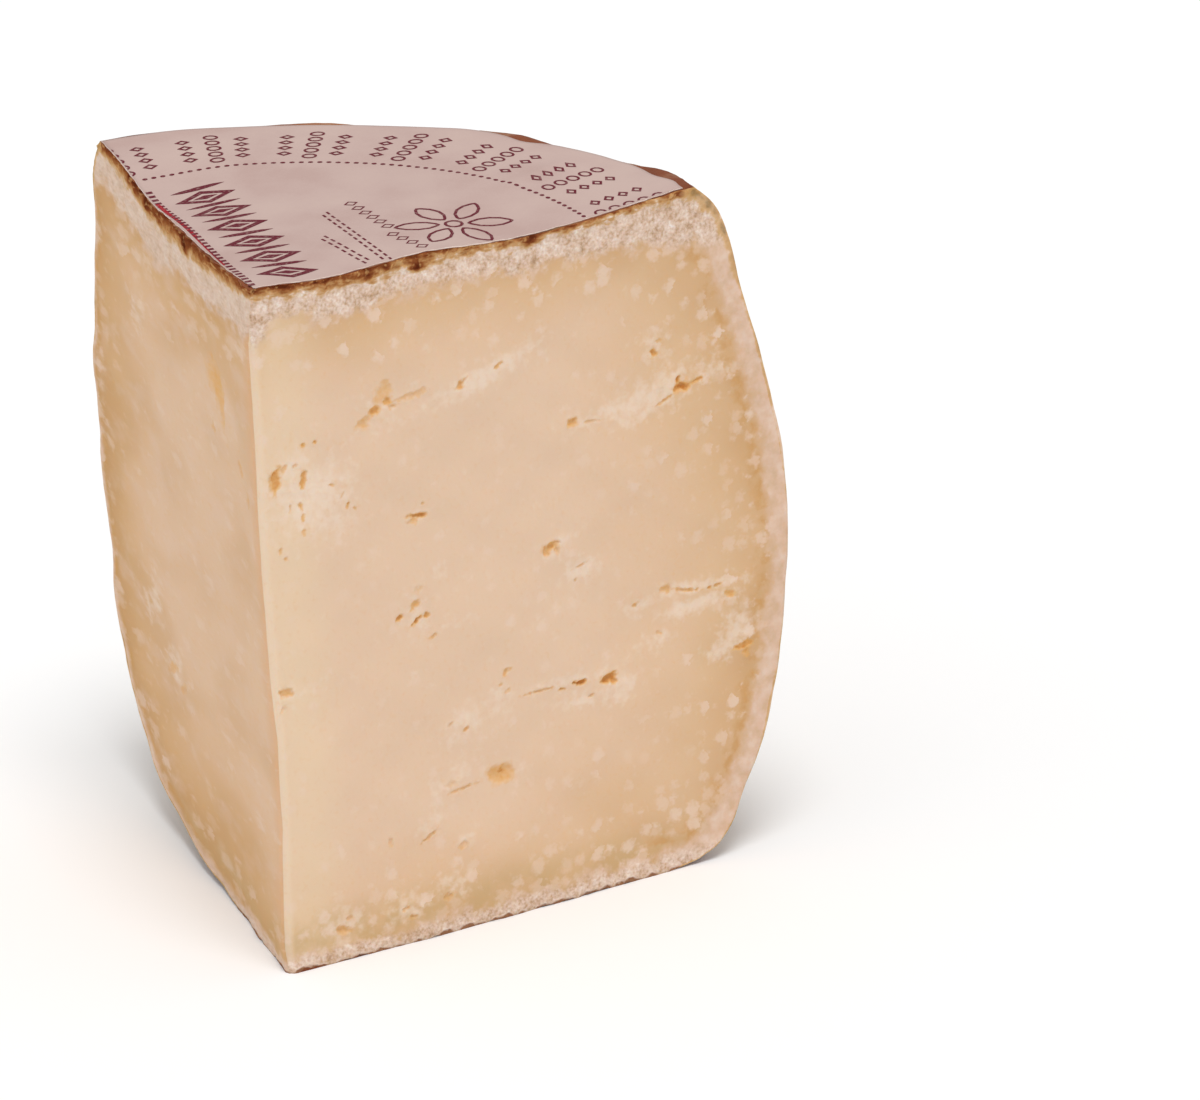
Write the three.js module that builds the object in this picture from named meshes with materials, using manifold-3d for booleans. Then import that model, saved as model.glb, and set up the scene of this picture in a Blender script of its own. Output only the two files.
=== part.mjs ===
// A wedge cut from a wheel of hard, aged sheep's milk cheese, with the paper label on its top face.
// Millimetres, +Z up. The wedge stands on the wheel's flat base. The two cut faces meet in an upright
// front edge, which is the wheel's axis, and the wedge opens from it towards +Y.

import * as THREE from 'three';
import { mergeVertices } from 'three/addons/utils/BufferGeometryUtils.js';
import Module from 'manifold-3d';

const wasm = await Module();
wasm.setup();

// Driving dimensions

const degree = Math.PI / 180;
const wheelHeight = 130;
const wedgeAngle = 79.7 * degree;
const halfAngle = wedgeAngle / 2;

// The rind in section, [radius, height] at twelve stations from the foot of the side to the top rim.
// The heel is round and low at the left cut, and fuller at the right one.
const rightRind = [
  [79, 0], [85.5, 1.2], [91, 4.8], [95.6, 12.6], [100.6, 25], [104.5, 41],
  [106.8, 60], [105.9, 76], [102.1, 96], [97.9, 113.5], [94.2, 124.5], [89.4, 130],
];
const leftRind = [
  [30, 0], [50, 1.9], [66, 5.4], [80, 10.2], [91.2, 19.5], [99, 37],
  [104, 58], [103.3, 74], [101.4, 95], [97.8, 113], [94.2, 124.6], [90, 130],
];
const heelBlend = 0.45;            // share of the sweep in which the left section becomes the right one
const rindSteps = 26;              // rings on the side
const topRings = 12;
const baseRings = 6;
// The top rim runs further out here: bearing in degrees, how far, spread.
const rimBulges = [
  { bearing: 10.5, reach: 1.9, spread: 4 },
  { bearing: 33, reach: 1.9, spread: 4.5 },
];
const rimBulgeFoot = 108;          // height where a bulge begins
const rimBulgeRise = 18;
const wheelSegments = 120;

// Rises and dents of the top face: where on it, how high, and how wide.
const topForms = [
  { x: 0, y: 4, lift: 0.8, reach: 8 },
  { x: 8, y: 14, lift: -0.4, reach: 8 },
  { x: 22.4, y: 27, lift: 0.35, reach: 7 },
  { x: 36, y: 43, lift: -1.25, reach: 15 },
  { x: 57.7, y: 69, lift: 0.8, reach: 12 },
  { x: -17, y: 22, lift: -0.5, reach: 14 },
  { x: -36.5, y: 44, lift: -1.9, reach: 14 },
  { x: -48, y: 74, lift: 0.5, reach: 14 },
  { x: -6, y: 52, lift: -0.5, reach: 18 },
];

// Slow waves: how far they move a surface, and their length along it and up it.
const rindWaves = [
  { height: 0.55, along: 46, up: 61, phase: 0.4 },
  { height: 0.35, along: 27, up: 31, phase: 2.1 },
];
const cutWaves = [
  { height: 0.38, along: 71, up: 48, phase: 1.2 },
  { height: 0.2, along: 33, up: 22, phase: 3.0 },
  { height: 0.1, along: 15, up: 11, phase: 5.1 },
];
const edgeWander = { sway: 0.55, length: 118, phase: 2.3, fade: 24 };

const cutReach = 152;              // the cutting prism runs past the rind and past both flat faces
const cutOverlap = 8;
const cutColumns = 18;
const cutRows = 18;

// Eyes and cracks: [distance from the front edge, height, width, rise, depth, tilt in degrees].
const rightEyes = [
  // the torn hollow in the upper part and its tail
  [20.6, 101.4, 3.2, 2.6, 2.0, 20], [22.9, 103.0, 3.6, 3.8, 3.2, 50], [25.0, 104.0, 3.2, 2.8, 2.8, 0],
  [24.9, 107.1, 3.6, 4.4, 1.8, 60], [30.6, 103.4, 7.4, 1.3, 1.2, 4], [40.5, 104.4, 3.0, 1.4, 1.6, 36],
  [48.1, 106.1, 2.2, 1.1, 1.2, 30],
  // the star shaped eye near the rind, its tails, and the eye above it
  [85.4, 93.4, 3.2, 3.9, 4.0, 100], [89.0, 93.9, 4.6, 1.0, 1.6, 14], [81.8, 92.2, 5.6, 1.0, 1.6, 24],
  [80.2, 101.0, 1.9, 2.0, 1.8, 0],
  // the eye left of them with its tail
  [62.7, 91.8, 2.1, 2.3, 1.8, 60], [66.6, 91.2, 5.0, 0.9, 0.9, -6],
  // crumbled pits beside the front edge
  [3.6, 94.0, 2.6, 4.6, 2.0, 80], [8.0, 93.2, 1.9, 2.8, 1.5, 70], [7.0, 88.3, 2.0, 1.8, 1.4, 0],
  [16.8, 86.6, 2.2, 1.5, 1.2, 40], [7.2, 84.1, 2.4, 1.8, 1.3, 20], [3.4, 54.2, 3.2, 2.2, 1.6, 0],
  // the arched slit and the arched eye
  [30.6, 80.9, 4.6, 1.8, 2.0, -8], [57.0, 68.9, 3.3, 2.7, 2.4, 10],
  // the torn group left of the middle
  [25.7, 63.2, 2.6, 1.9, 1.6, 30], [28.9, 64.6, 3.2, 1.9, 2.0, 15], [29.9, 61.7, 3.2, 1.8, 2.0, -20],
  [32.4, 58.0, 2.0, 1.5, 1.2, 30],
  // the crack by the rind, with an eye at its end
  [82.4, 54.7, 6.6, 1.1, 1.5, -16], [89.4, 52.9, 5.4, 1.1, 1.5, 12], [93.8, 51.2, 2.6, 2.1, 1.8, 0],
  [95.6, 40.6, 3.2, 2.7, 2.2, 10], [78.7, 47.2, 2.2, 1.2, 1.0, 30],
  // the long crack with two dark eyes
  [54.4, 42.1, 8.0, 1.3, 1.7, -13], [61.9, 41.6, 3.8, 1.9, 2.6, -4], [67.7, 41.0, 4.2, 2.4, 3.0, 12],
  [64.0, 38.4, 2.4, 1.2, 1.2, 0], [46.0, 46.8, 3.2, 1.3, 1.2, 45], [38.0, 38.8, 2.4, 1.3, 1.1, 30],
  // the big round eye and the crack left of it
  [44.9, 28.1, 5.8, 4.8, 3.4, 10], [37.0, 27.2, 6.6, 1.2, 1.3, -14],
  // small torn pits towards the base
  [29.6, 20.0, 3.2, 2.4, 1.6, 40], [35.6, 16.6, 2.6, 1.5, 1.2, 10], [21.6, 21.1, 2.2, 1.3, 1.0, 0],
  [11.3, 6.4, 3.2, 2.4, 1.8, 10], [24.8, 6.2, 2.6, 2.0, 1.4, 60], [32.4, 7.3, 2.2, 1.6, 1.2, 20],
];
const leftEyes = [
  [24.6, 103.8, 4.6, 6.6, 2.0, 110], [30.8, 95.7, 3.0, 2.4, 1.3, 0], [10.6, 97.2, 2.4, 2.2, 1.2, 30],
  [64.0, 35.4, 4.0, 2.0, 1.4, 10], [58.2, 33.4, 3.4, 1.6, 1.2, -10],
];
// Shallow lenses where flakes have lifted off the right cut face.
const rightFlakes = [
  [76.0, 93.6, 9.0, 3.2, 0.7, 12], [58.0, 41.0, 15.0, 3.4, 0.6, -4], [9.5, 90.5, 9.0, 9.0, 0.7, 0],
];
const eyeRoughness = 0.16;         // how uneven an eye's wall is, as a share of its size
const largeEye = 4.5;              // an eye this wide gets the finer sphere

const labelThickness = 0.4;
const labelGap = 0.3;
const labelInset = 0.7;            // the paper ends this far inside each cut
const labelRadius = 89.3;
// The back edge of the paper falls short of the rim here: bearing in degrees, shortfall, spread.
const labelBays = [
  { bearing: 12.2, depth: 1.2, spread: 2.2 },
  { bearing: 34, depth: 1.4, spread: 3.2 },
  { bearing: 40, depth: 1.8, spread: 2.4 },
];
const labelArcSteps = 40;

// Surface functions

function smoothStep(t) {
  const clamped = Math.min(Math.max(t, 0), 1);
  return clamped * clamped * (3 - 2 * clamped);
}

function waveSum(waves, along, up) {
  let sum = 0;
  for (const wave of waves) {
    sum += wave.height
      * Math.sin((2 * Math.PI * along) / wave.along + wave.phase)
      * Math.cos((2 * Math.PI * up) / wave.up + 1.7 * wave.phase);
  }
  return sum;
}

function rimBulge(bearing, height) {
  let reach = 0;
  for (const bulge of rimBulges) {
    const offset = (bearing / degree - bulge.bearing) / bulge.spread;
    reach += bulge.reach * Math.exp(-offset * offset);
  }
  return reach * smoothStep((height - rimBulgeFoot) / rimBulgeRise);
}

function topLift(x, y) {
  let lift = 0;
  for (const form of topForms) {
    const distance = Math.hypot(x - form.x, y - form.y) / form.reach;
    lift += form.lift * Math.exp(-distance * distance);
  }
  return lift;
}

// A bearing is an angle about the wheel's axis, from +Y towards +X.
function blendAt(bearing) {
  return smoothStep((bearing + halfAngle) / (wedgeAngle * heelBlend));
}

// Solids

function solidOf(geometry) {
  geometry.deleteAttribute('normal');
  geometry.deleteAttribute('uv');
  const merged = mergeVertices(geometry, 1e-3);
  return new wasm.Manifold(new wasm.Mesh({
    numProp: 3,
    vertProperties: Float32Array.from(merged.attributes.position.array),
    triVerts: Uint32Array.from(merged.index.array),
  }));
}

function geometryOf(solid) {
  const mesh = solid.getMesh();
  const geometry = new THREE.BufferGeometry();
  geometry.setAttribute('position', new THREE.BufferAttribute(mesh.vertProperties, 3));
  geometry.setIndex(new THREE.BufferAttribute(mesh.triVerts, 1));
  return geometry;
}

function sampledRind(stations) {
  const points = stations.map(([radius, height]) => new THREE.Vector2(radius, height));
  return new THREE.SplineCurve(points).getPoints(rindSteps);
}

// Turns a profile into a lathe solid and moves each vertex to place(column, bearing).
function turned(profile, place) {
  const geometry = new THREE.LatheGeometry(profile, wheelSegments);
  const position = geometry.attributes.position;
  const count = profile.length;
  for (let index = 0; index < position.count; index += 1) {
    const column = index % count;
    const turn = Math.floor(index / count) % wheelSegments;
    let bearing = (-2 * Math.PI * turn) / wheelSegments;
    if (bearing < -Math.PI) bearing += 2 * Math.PI;
    const point = place(column, bearing);
    position.setXYZ(
      index,
      point.radius * Math.sin(bearing),
      point.radius * Math.cos(bearing),
      point.height,
    );
  }
  return geometry;
}

function makeWheel() {
  const right = sampledRind(rightRind);
  const left = sampledRind(leftRind);
  const profile = [];
  for (let ring = 0; ring < baseRings; ring += 1) {
    profile.push(new THREE.Vector2((right[0].x * ring) / baseRings, 0));
  }
  profile.push(...right);
  for (let ring = topRings - 1; ring >= 0; ring -= 1) {
    profile.push(new THREE.Vector2((right[rindSteps].x * ring) / topRings, wheelHeight));
  }
  const firstRind = baseRings;
  const lastRind = baseRings + rindSteps;

  const geometry = turned(profile, (column, bearing) => {
    const blend = blendAt(bearing);
    const rindStep = Math.min(Math.max(column - firstRind, 0), rindSteps);
    const section = left[rindStep].clone().lerp(right[rindStep], blend);
    let share = 1;
    if (column < firstRind) share = column / baseRings;
    if (column > lastRind) share = (profile.length - 1 - column) / topRings;
    const waves = waveSum(rindWaves, bearing * section.x, section.y);
    const outward = section.x + waves * smoothStep(section.y / 12) + rimBulge(bearing, section.y);
    const radius = outward * share;
    const lift = topLift(radius * Math.sin(bearing), radius * Math.cos(bearing));
    const height = section.y + lift * smoothStep((section.y - 100) / 30);
    return { radius, height };
  });
  return solidOf(geometry);
}

// Outward unit vector of a cut face, and the unit vector from the front edge along it.
const cuts = {
  right: {
    along: new THREE.Vector3(Math.sin(halfAngle), Math.cos(halfAngle), 0),
    outward: new THREE.Vector3(Math.cos(halfAngle), -Math.sin(halfAngle), 0),
    shift: 0,
  },
  left: {
    along: new THREE.Vector3(-Math.sin(halfAngle), Math.cos(halfAngle), 0),
    outward: new THREE.Vector3(-Math.cos(halfAngle), -Math.sin(halfAngle), 0),
    shift: 40,
  },
};

function cutRelief(side, distance, height) {
  return waveSum(cutWaves, distance + cuts[side].shift, height) * smoothStep(distance / 12);
}

function frontEdgeSway(distance, height) {
  const sway = Math.sin((2 * Math.PI * height) / edgeWander.length + edgeWander.phase);
  return edgeWander.sway * sway * Math.exp(-distance / edgeWander.fade);
}

// The prism between the two cuts, wavy as a wedge sawn out by hand.
function makeCutPrism() {
  const shape = new THREE.Shape();
  shape.moveTo(0, 0);
  for (let column = 1; column <= cutColumns; column += 1) {
    const point = cuts.right.along.clone().multiplyScalar((cutReach * column) / cutColumns);
    shape.lineTo(point.x, point.y);
  }
  for (let column = cutColumns; column >= 1; column -= 1) {
    const point = cuts.left.along.clone().multiplyScalar((cutReach * column) / cutColumns);
    shape.lineTo(point.x, point.y);
  }
  shape.closePath();
  const geometry = new THREE.ExtrudeGeometry(shape, {
    depth: wheelHeight + 2 * cutOverlap,
    steps: cutRows,
    bevelEnabled: false,
  });
  geometry.translate(0, 0, -cutOverlap);
  const position = geometry.attributes.position;
  const vertex = new THREE.Vector3();
  for (let index = 0; index < position.count; index += 1) {
    vertex.fromBufferAttribute(position, index);
    const distance = Math.hypot(vertex.x, vertex.y);
    const side = vertex.x >= 0 ? 'right' : 'left';
    vertex.addScaledVector(cuts[side].outward, cutRelief(side, distance, vertex.z));
    vertex.x += frontEdgeSway(distance, vertex.z);
    position.setXYZ(index, vertex.x, vertex.y, vertex.z);
  }
  return solidOf(geometry);
}

// An uneven ellipsoid sunk into a cut face. Half of it lies outside, where it cuts nothing.
function makeEye(side, [distance, height, width, rise, depth, tilt], seed) {
  const cut = cuts[side];
  const geometry = new THREE.IcosahedronGeometry(1, Math.max(width, rise) > largeEye ? 2 : 1);
  const position = geometry.attributes.position;
  const across = cut.along.clone();
  const up = new THREE.Vector3(0, 0, 1);
  const through = across.clone().cross(up);
  const turn = tilt * degree;
  const relief = cutRelief(side, distance, height);
  const centre = cut.along.clone().multiplyScalar(distance)
    .addScaledVector(up, height)
    .addScaledVector(cut.outward, relief);
  const vertex = new THREE.Vector3();
  for (let index = 0; index < position.count; index += 1) {
    vertex.fromBufferAttribute(position, index);
    const bump = Math.sin(3.1 * vertex.x + 1.3 * seed) * Math.cos(2.7 * vertex.y + 0.7 * seed)
      + 0.6 * Math.sin(5.3 * vertex.x * vertex.y + seed);
    vertex.multiplyScalar(1 + eyeRoughness * bump);
    const flatX = (vertex.x * width) / 2;
    const flatY = (vertex.y * rise) / 2;
    const point = centre.clone()
      .addScaledVector(across, flatX * Math.cos(turn) - flatY * Math.sin(turn))
      .addScaledVector(up, flatX * Math.sin(turn) + flatY * Math.cos(turn))
      .addScaledVector(through, vertex.z * depth);
    position.setXYZ(index, point.x, point.y, point.z);
  }
  return solidOf(geometry);
}

function makeCheese() {
  const eyes = [];
  rightFlakes.forEach((flake, index) => eyes.push(makeEye('right', flake, 31 + index)));
  rightEyes.forEach((eye, index) => eyes.push(makeEye('right', eye, index)));
  leftEyes.forEach((eye, index) => eyes.push(makeEye('left', eye, 57 + index)));
  return makeWheel().intersect(makeCutPrism()).subtract(wasm.Manifold.union(eyes));
}

// The paper follows the top face, so it is turned with the same rings and the same rises.
function makeLabel() {
  const radii = [];
  for (let ring = 0; ring <= topRings; ring += 1) {
    radii.push((labelRadius * ring) / topRings);
  }
  const under = radii.map((radius) => new THREE.Vector2(radius, wheelHeight));
  const over = radii.slice().reverse().map((radius) => new THREE.Vector2(radius, wheelHeight + 1));
  const profile = [...under, ...over];
  const geometry = turned(profile, (column, bearing) => {
    const radius = profile[column].x;
    const lift = topLift(radius * Math.sin(bearing), radius * Math.cos(bearing));
    const layer = column > topRings ? labelGap + labelThickness : labelGap;
    return { radius, height: wheelHeight + lift + layer };
  });
  return solidOf(geometry).intersect(makeLabelOutline());
}

function labelEdge(bearing) {
  let radius = labelRadius;
  for (const bay of labelBays) {
    const offset = (bearing / degree - bay.bearing) / bay.spread;
    radius -= bay.depth * Math.exp(-offset * offset);
  }
  return radius;
}

function makeLabelOutline() {
  const shape = new THREE.Shape();
  const tip = labelInset / Math.sin(halfAngle);
  shape.moveTo(0, tip);
  const margin = Math.asin(labelInset / labelRadius);
  for (let step = 0; step <= labelArcSteps; step += 1) {
    const bearing = halfAngle - margin - ((wedgeAngle - 2 * margin) * step) / labelArcSteps;
    const radius = labelEdge(bearing);
    shape.lineTo(radius * Math.sin(bearing), radius * Math.cos(bearing));
  }
  shape.closePath();
  const geometry = new THREE.ExtrudeGeometry(shape, {
    depth: 2 * cutOverlap,
    steps: 1,
    bevelEnabled: false,
  });
  geometry.translate(0, 0, wheelHeight - cutOverlap);
  return solidOf(geometry);
}

// Assembly: the box of the pieces stands centred on the origin, with its base at z = 0.

const pieces = [
  {
    name: 'cheese_wedge',
    solid: makeCheese(),
    material: new THREE.MeshStandardMaterial({ color: 0xe0c2a2, roughness: 0.62, metalness: 0 }),
  },
  {
    name: 'paper_label',
    solid: makeLabel(),
    material: new THREE.MeshStandardMaterial({ color: 0xcdb2aa, roughness: 0.8, metalness: 0 }),
  },
];

const group = new THREE.Group();
const box = new THREE.Box3();
for (const piece of pieces) {
  const mesh = new THREE.Mesh(geometryOf(piece.solid), piece.material);
  mesh.name = piece.name;
  group.add(mesh);
  box.expandByObject(mesh);
}
const centre = box.getCenter(new THREE.Vector3());
group.position.set(-centre.x, -centre.y, -box.min.z);
group.updateMatrixWorld(true);

export default group;
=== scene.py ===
"""A wedge of hard, aged sheep's milk cheese with its paper label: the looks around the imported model."""
import math

import bmesh
import bpy
import numpy as np
from mathutils import Matrix, Vector, noise


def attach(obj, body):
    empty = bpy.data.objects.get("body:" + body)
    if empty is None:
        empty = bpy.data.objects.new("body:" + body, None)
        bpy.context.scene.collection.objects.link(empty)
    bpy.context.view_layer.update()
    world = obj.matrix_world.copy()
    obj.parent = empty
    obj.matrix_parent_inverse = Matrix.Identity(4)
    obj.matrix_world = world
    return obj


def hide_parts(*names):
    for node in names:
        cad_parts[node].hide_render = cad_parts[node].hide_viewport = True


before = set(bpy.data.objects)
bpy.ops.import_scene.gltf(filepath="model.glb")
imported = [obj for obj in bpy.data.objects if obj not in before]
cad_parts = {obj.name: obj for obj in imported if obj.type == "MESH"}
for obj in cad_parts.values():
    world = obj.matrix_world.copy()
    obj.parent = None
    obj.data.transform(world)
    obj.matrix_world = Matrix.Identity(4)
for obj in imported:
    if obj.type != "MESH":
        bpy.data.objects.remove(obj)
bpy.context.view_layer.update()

# The wheel and the wedge, in millimetres and degrees, mostly as in the part's source.
# The wheel's axis is the front edge, where the cuts meet, and a bearing turns from +Y towards +X.

MM = 0.001
WHEEL_HEIGHT = 130.0
WEDGE_ANGLE = math.radians(79.7)
HALF_ANGLE = WEDGE_ANGLE / 2
HEEL_BLEND = 0.45

RIGHT_RIND = [
    (79, 0), (85.5, 1.2), (91, 4.8), (95.6, 12.6), (100.6, 25), (104.5, 41),
    (106.8, 60), (105.9, 76), (102.1, 96), (97.9, 113.5), (94.2, 124.5), (89.4, 130),
]
LEFT_RIND = [
    (30, 0), (50, 1.9), (66, 5.4), (80, 10.2), (91.2, 19.5), (99, 37),
    (104, 58), (103.3, 74), (101.4, 95), (97.8, 113), (94.2, 124.6), (90, 130),
]
# Rises and dents of the top face: x, y, lift, reach. The last is the scene's own.
TOP_FORMS = [
    (0, 4, 0.8, 8), (8, 14, -0.4, 8), (22.4, 27, 0.35, 7), (36, 43, -1.25, 15), (57.7, 69, 0.8, 12),
    (-17, 22, -0.5, 14), (-36.5, 44, -1.9, 14), (-48, 74, 0.5, 14), (-6, 52, -0.5, 18),
    (7.5, 86, 0.6, 10),
]
# The top rim runs further out here: bearing in degrees, how far, spread. The first is the scene's own.
RIM_BULGES = [(-14.5, 1.7, 5.0), (10.5, 1.9, 4.0), (33.0, 1.9, 4.5)]
RIM_BULGE_FOOT = 108.0
RIM_BULGE_TOP = 126.0
# The top's forms fade out downwards to this height.
TOP_FORMS_FOOT = 100.0
# Slow waves: height, length along, length up, phase. They start this far above the base and along the
# cuts, and the left cut reads them further along.
WAVE_START = 12.0
LEFT_SHIFT = 40.0
RIND_WAVES = [(0.55, 46, 61, 0.4), (0.35, 27, 31, 2.1)]
CUT_WAVES = [(0.38, 71, 48, 1.2), (0.2, 33, 22, 3.0), (0.1, 15, 11, 5.1)]
# The front edge lies off the wheel's axis: height, and how far to the right. It fades along the cuts.
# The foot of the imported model's edge lies to the right of the axis.
EDGE_LEAN = [
    (0, -0.9), (5, -1.3), (16, -1.0), (28, -0.45), (46, -0.4), (56, -1.0), (82, -1.5),
    (102, -1.2), (120, -1.25), (130, -0.3),
]
EDGE_FADE = 8.0
PACKED_EDGE_FOOT = 0.41
EDGE_ROUNDING = 0.9
EDGE_ROUNDING_REACH = 1.1
FOOT_GAPS = 0.6

# The label, in mm. Its cut edges are ragged by so much over such a length. Bays of its back edge:
# bearing in degrees, depth, half width in degrees.
PAPER_GAP = 0.05
PAPER_THICKNESS = 0.22
LABEL_INSET = 0.3
LABEL_TIP_SHIFT = (0.4, 0.8)
LABEL_TIP_FADE = 5.0
LABEL_RAGGED = (0.25, 2.4)
LABEL_OVERHANG = 0.2
LABEL_RADIUS = 89.2
LABEL_BAYS = [(12.2, 1.2, 2.2), (34.0, 1.4, 3.2), (40.0, 1.8, 2.4)]
PAPER_FOLD = (24.5, 63.6)
PAPER_FOLD_HEIGHT = 0.4
PAPER_FOLD_WIDTH = 1.8
# The fold rises from before its place to beyond it, and falls again towards the label's back edge.
PAPER_FOLD_ENDS = (8, 6, 10)
# Cockles of the paper: height, size, seed.
PAPER_COCKLES = ((0.1, 13, 2), (0.03, 4, 7))
INK_GAP = 0.02
INK_THICKNESS = 0.03

# How near a cut plane a point counts as lying in it, and how near the rind as lying on it, in mm.
# The depth below the side is measured from chords of its section.
ON_CUT = 1e-3
ON_RIND = 0.05
FAR_INSIDE = 99.0
RIND_CHORDS = 60

# Mesh density
ROWS = 150
COLUMNS = 96
SWEEP_STEPS = 82
LABEL_RINGS = 100
LABEL_RAYS = 120

# Camera: where it stands from the foot of the front edge, in mm, and how it is turned, in degrees.
CAMERA_PLACE = (568.0, -1320.9, 650.0)
CAMERA_BEARING = 20.93
CAMERA_DROP = 21.665
CAMERA_ROLL = -2.636
CAMERA_LENS = 263.87
CAMERA_SENSOR = 36.0


def smooth_step(low, high, value):
    share = np.clip((value - low) / (high - low), 0.0, 1.0)
    return share * share * (3 - 2 * share)


def wave_sum(waves, along, up):
    total = 0.0
    for height, wave_along, wave_up, phase in waves:
        swing = np.sin(2 * math.pi * along / wave_along + phase)
        total = total + height * swing * np.cos(2 * math.pi * up / wave_up + 1.7 * phase)
    return total


def top_lift(x, y):
    lift = 0.0
    for form_x, form_y, height, reach in TOP_FORMS:
        lift = lift + height * np.exp(-((x - form_x) ** 2 + (y - form_y) ** 2) / reach**2)
    return lift


def rim_bulge(bearing, height):
    reach = 0.0
    for middle, outward, spread in RIM_BULGES:
        reach = reach + outward * np.exp(-(((np.degrees(bearing) - middle) / spread) ** 2))
    return reach * smooth_step(RIM_BULGE_FOOT, RIM_BULGE_TOP, height)


def edge_lean(distance, height):
    stations = np.array(EDGE_LEAN)
    return np.interp(height, stations[:, 0], stations[:, 1]) * np.exp(-distance / EDGE_FADE)


def rind_curve(stations, share):
    """Radius and height along a rind section, share running from the heel to the top rim."""
    points = np.array(stations, float)
    last = len(points) - 1
    span = np.clip(np.asarray(share, float), 0, 1) * last
    index = np.minimum(span.astype(int), last - 1)
    local = (span - index)[..., None]
    before, here, after, beyond = (points[np.clip(index + step, 0, last)] for step in (-1, 0, 1, 2))
    slope_here = (after - before) / 2
    slope_after = (beyond - here) / 2
    cubic = (2 * here - 2 * after + slope_here + slope_after) * local**3
    square = (-3 * here + 3 * after - 2 * slope_here - slope_after) * local**2
    return cubic + square + slope_here * local + here


def even_shares():
    """Shares of the rind section that divide its length evenly, as a table over the rows."""
    fine = np.linspace(0, 1, 2000)
    curve = (rind_curve(RIGHT_RIND, fine) + rind_curve(LEFT_RIND, fine)) / 2
    length = np.concatenate([[0], np.cumsum(np.linalg.norm(np.diff(curve, axis=0), axis=1))])
    return np.interp(np.linspace(0, length[-1], ROWS + 1), length, fine)


ROW_SHARES = even_shares()


def section(row, bearing):
    """The rind's radius and height at a row, which may lie between two, and a bearing."""
    share = np.interp(row, np.arange(ROWS + 1), ROW_SHARES)
    blend = smooth_step(0.0, 1.0, (bearing + HALF_ANGLE) / (WEDGE_ANGLE * HEEL_BLEND))[..., None]
    rind = rind_curve(LEFT_RIND, share) * (1 - blend) + rind_curve(RIGHT_RIND, share) * blend
    rind[..., 0] += rim_bulge(bearing, rind[..., 1])
    return rind


def smooth_place(column, row, bearing):
    """A point of the wedge before its fine relief, in the wheel's own frame."""
    rind = section(row, bearing)
    share = column / COLUMNS
    level = WHEEL_HEIGHT * row / ROWS
    height = level + (rind[..., 1] - level) * share**2
    waves = wave_sum(RIND_WAVES, bearing * rind[..., 0], rind[..., 1])
    radius = share * (rind[..., 0] + waves * smooth_step(0, WAVE_START, rind[..., 1]))
    x = radius * np.sin(bearing)
    y = radius * np.cos(bearing)
    height = height + top_lift(x, y) * smooth_step(TOP_FORMS_FOOT, WHEEL_HEIGHT, height)
    return x, y, height


def front_edge_place():
    """Where the foot of the front edge stands in the part's frame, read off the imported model."""
    co = np.array([v.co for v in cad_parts["cheese_wedge"].data.vertices])
    foot = co[co[:, 2] < 0.01 * MM]
    tip = foot[np.argmin(foot[:, 1])]
    return np.array([tip[0] - PACKED_EDGE_FOOT * MM, tip[1], 0.0])


FRONT_EDGE = front_edge_place()
RIGHT_ALONG = np.array([math.sin(HALF_ANGLE), math.cos(HALF_ANGLE), 0.0])
RIGHT_OUT = np.array([math.cos(HALF_ANGLE), -math.sin(HALF_ANGLE), 0.0])
LEFT_ALONG = np.array([-math.sin(HALF_ANGLE), math.cos(HALF_ANGLE), 0.0])
LEFT_OUT = np.array([-math.cos(HALF_ANGLE), -math.sin(HALF_ANGLE), 0.0])


def linear(hex_colour):
    """An sRGB hex colour as linear red, green, blue and alpha."""
    channels = [int(hex_colour[start:start + 2], 16) / 255 for start in (1, 3, 5)]
    return (*(c / 12.92 if c <= 0.04045 else ((c + 0.055) / 1.055) ** 2.4 for c in channels), 1.0)


def fractal(points, size, seed, octaves=1):
    """Noise of about -1 to 1 at each point, with features of that size in millimetres."""
    values = np.zeros(len(points))
    offset = Vector((seed * 17.3, seed * 5.1, seed * 11.7))
    for index, point in enumerate(points):
        place = Vector(point) / size + offset
        strength = 1.0
        for octave in range(octaves):
            values[index] += strength * noise.noise(place)
            place = place * 2.03
            strength /= 2
    return values * 1.6


# Eyes, cracks and pits of the cut faces. Each is: distance from the front edge, height, width,
# rise, depth, tilt in degrees, and how dark its inside is, from 0 to 1: a stain with painted shade.

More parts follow.
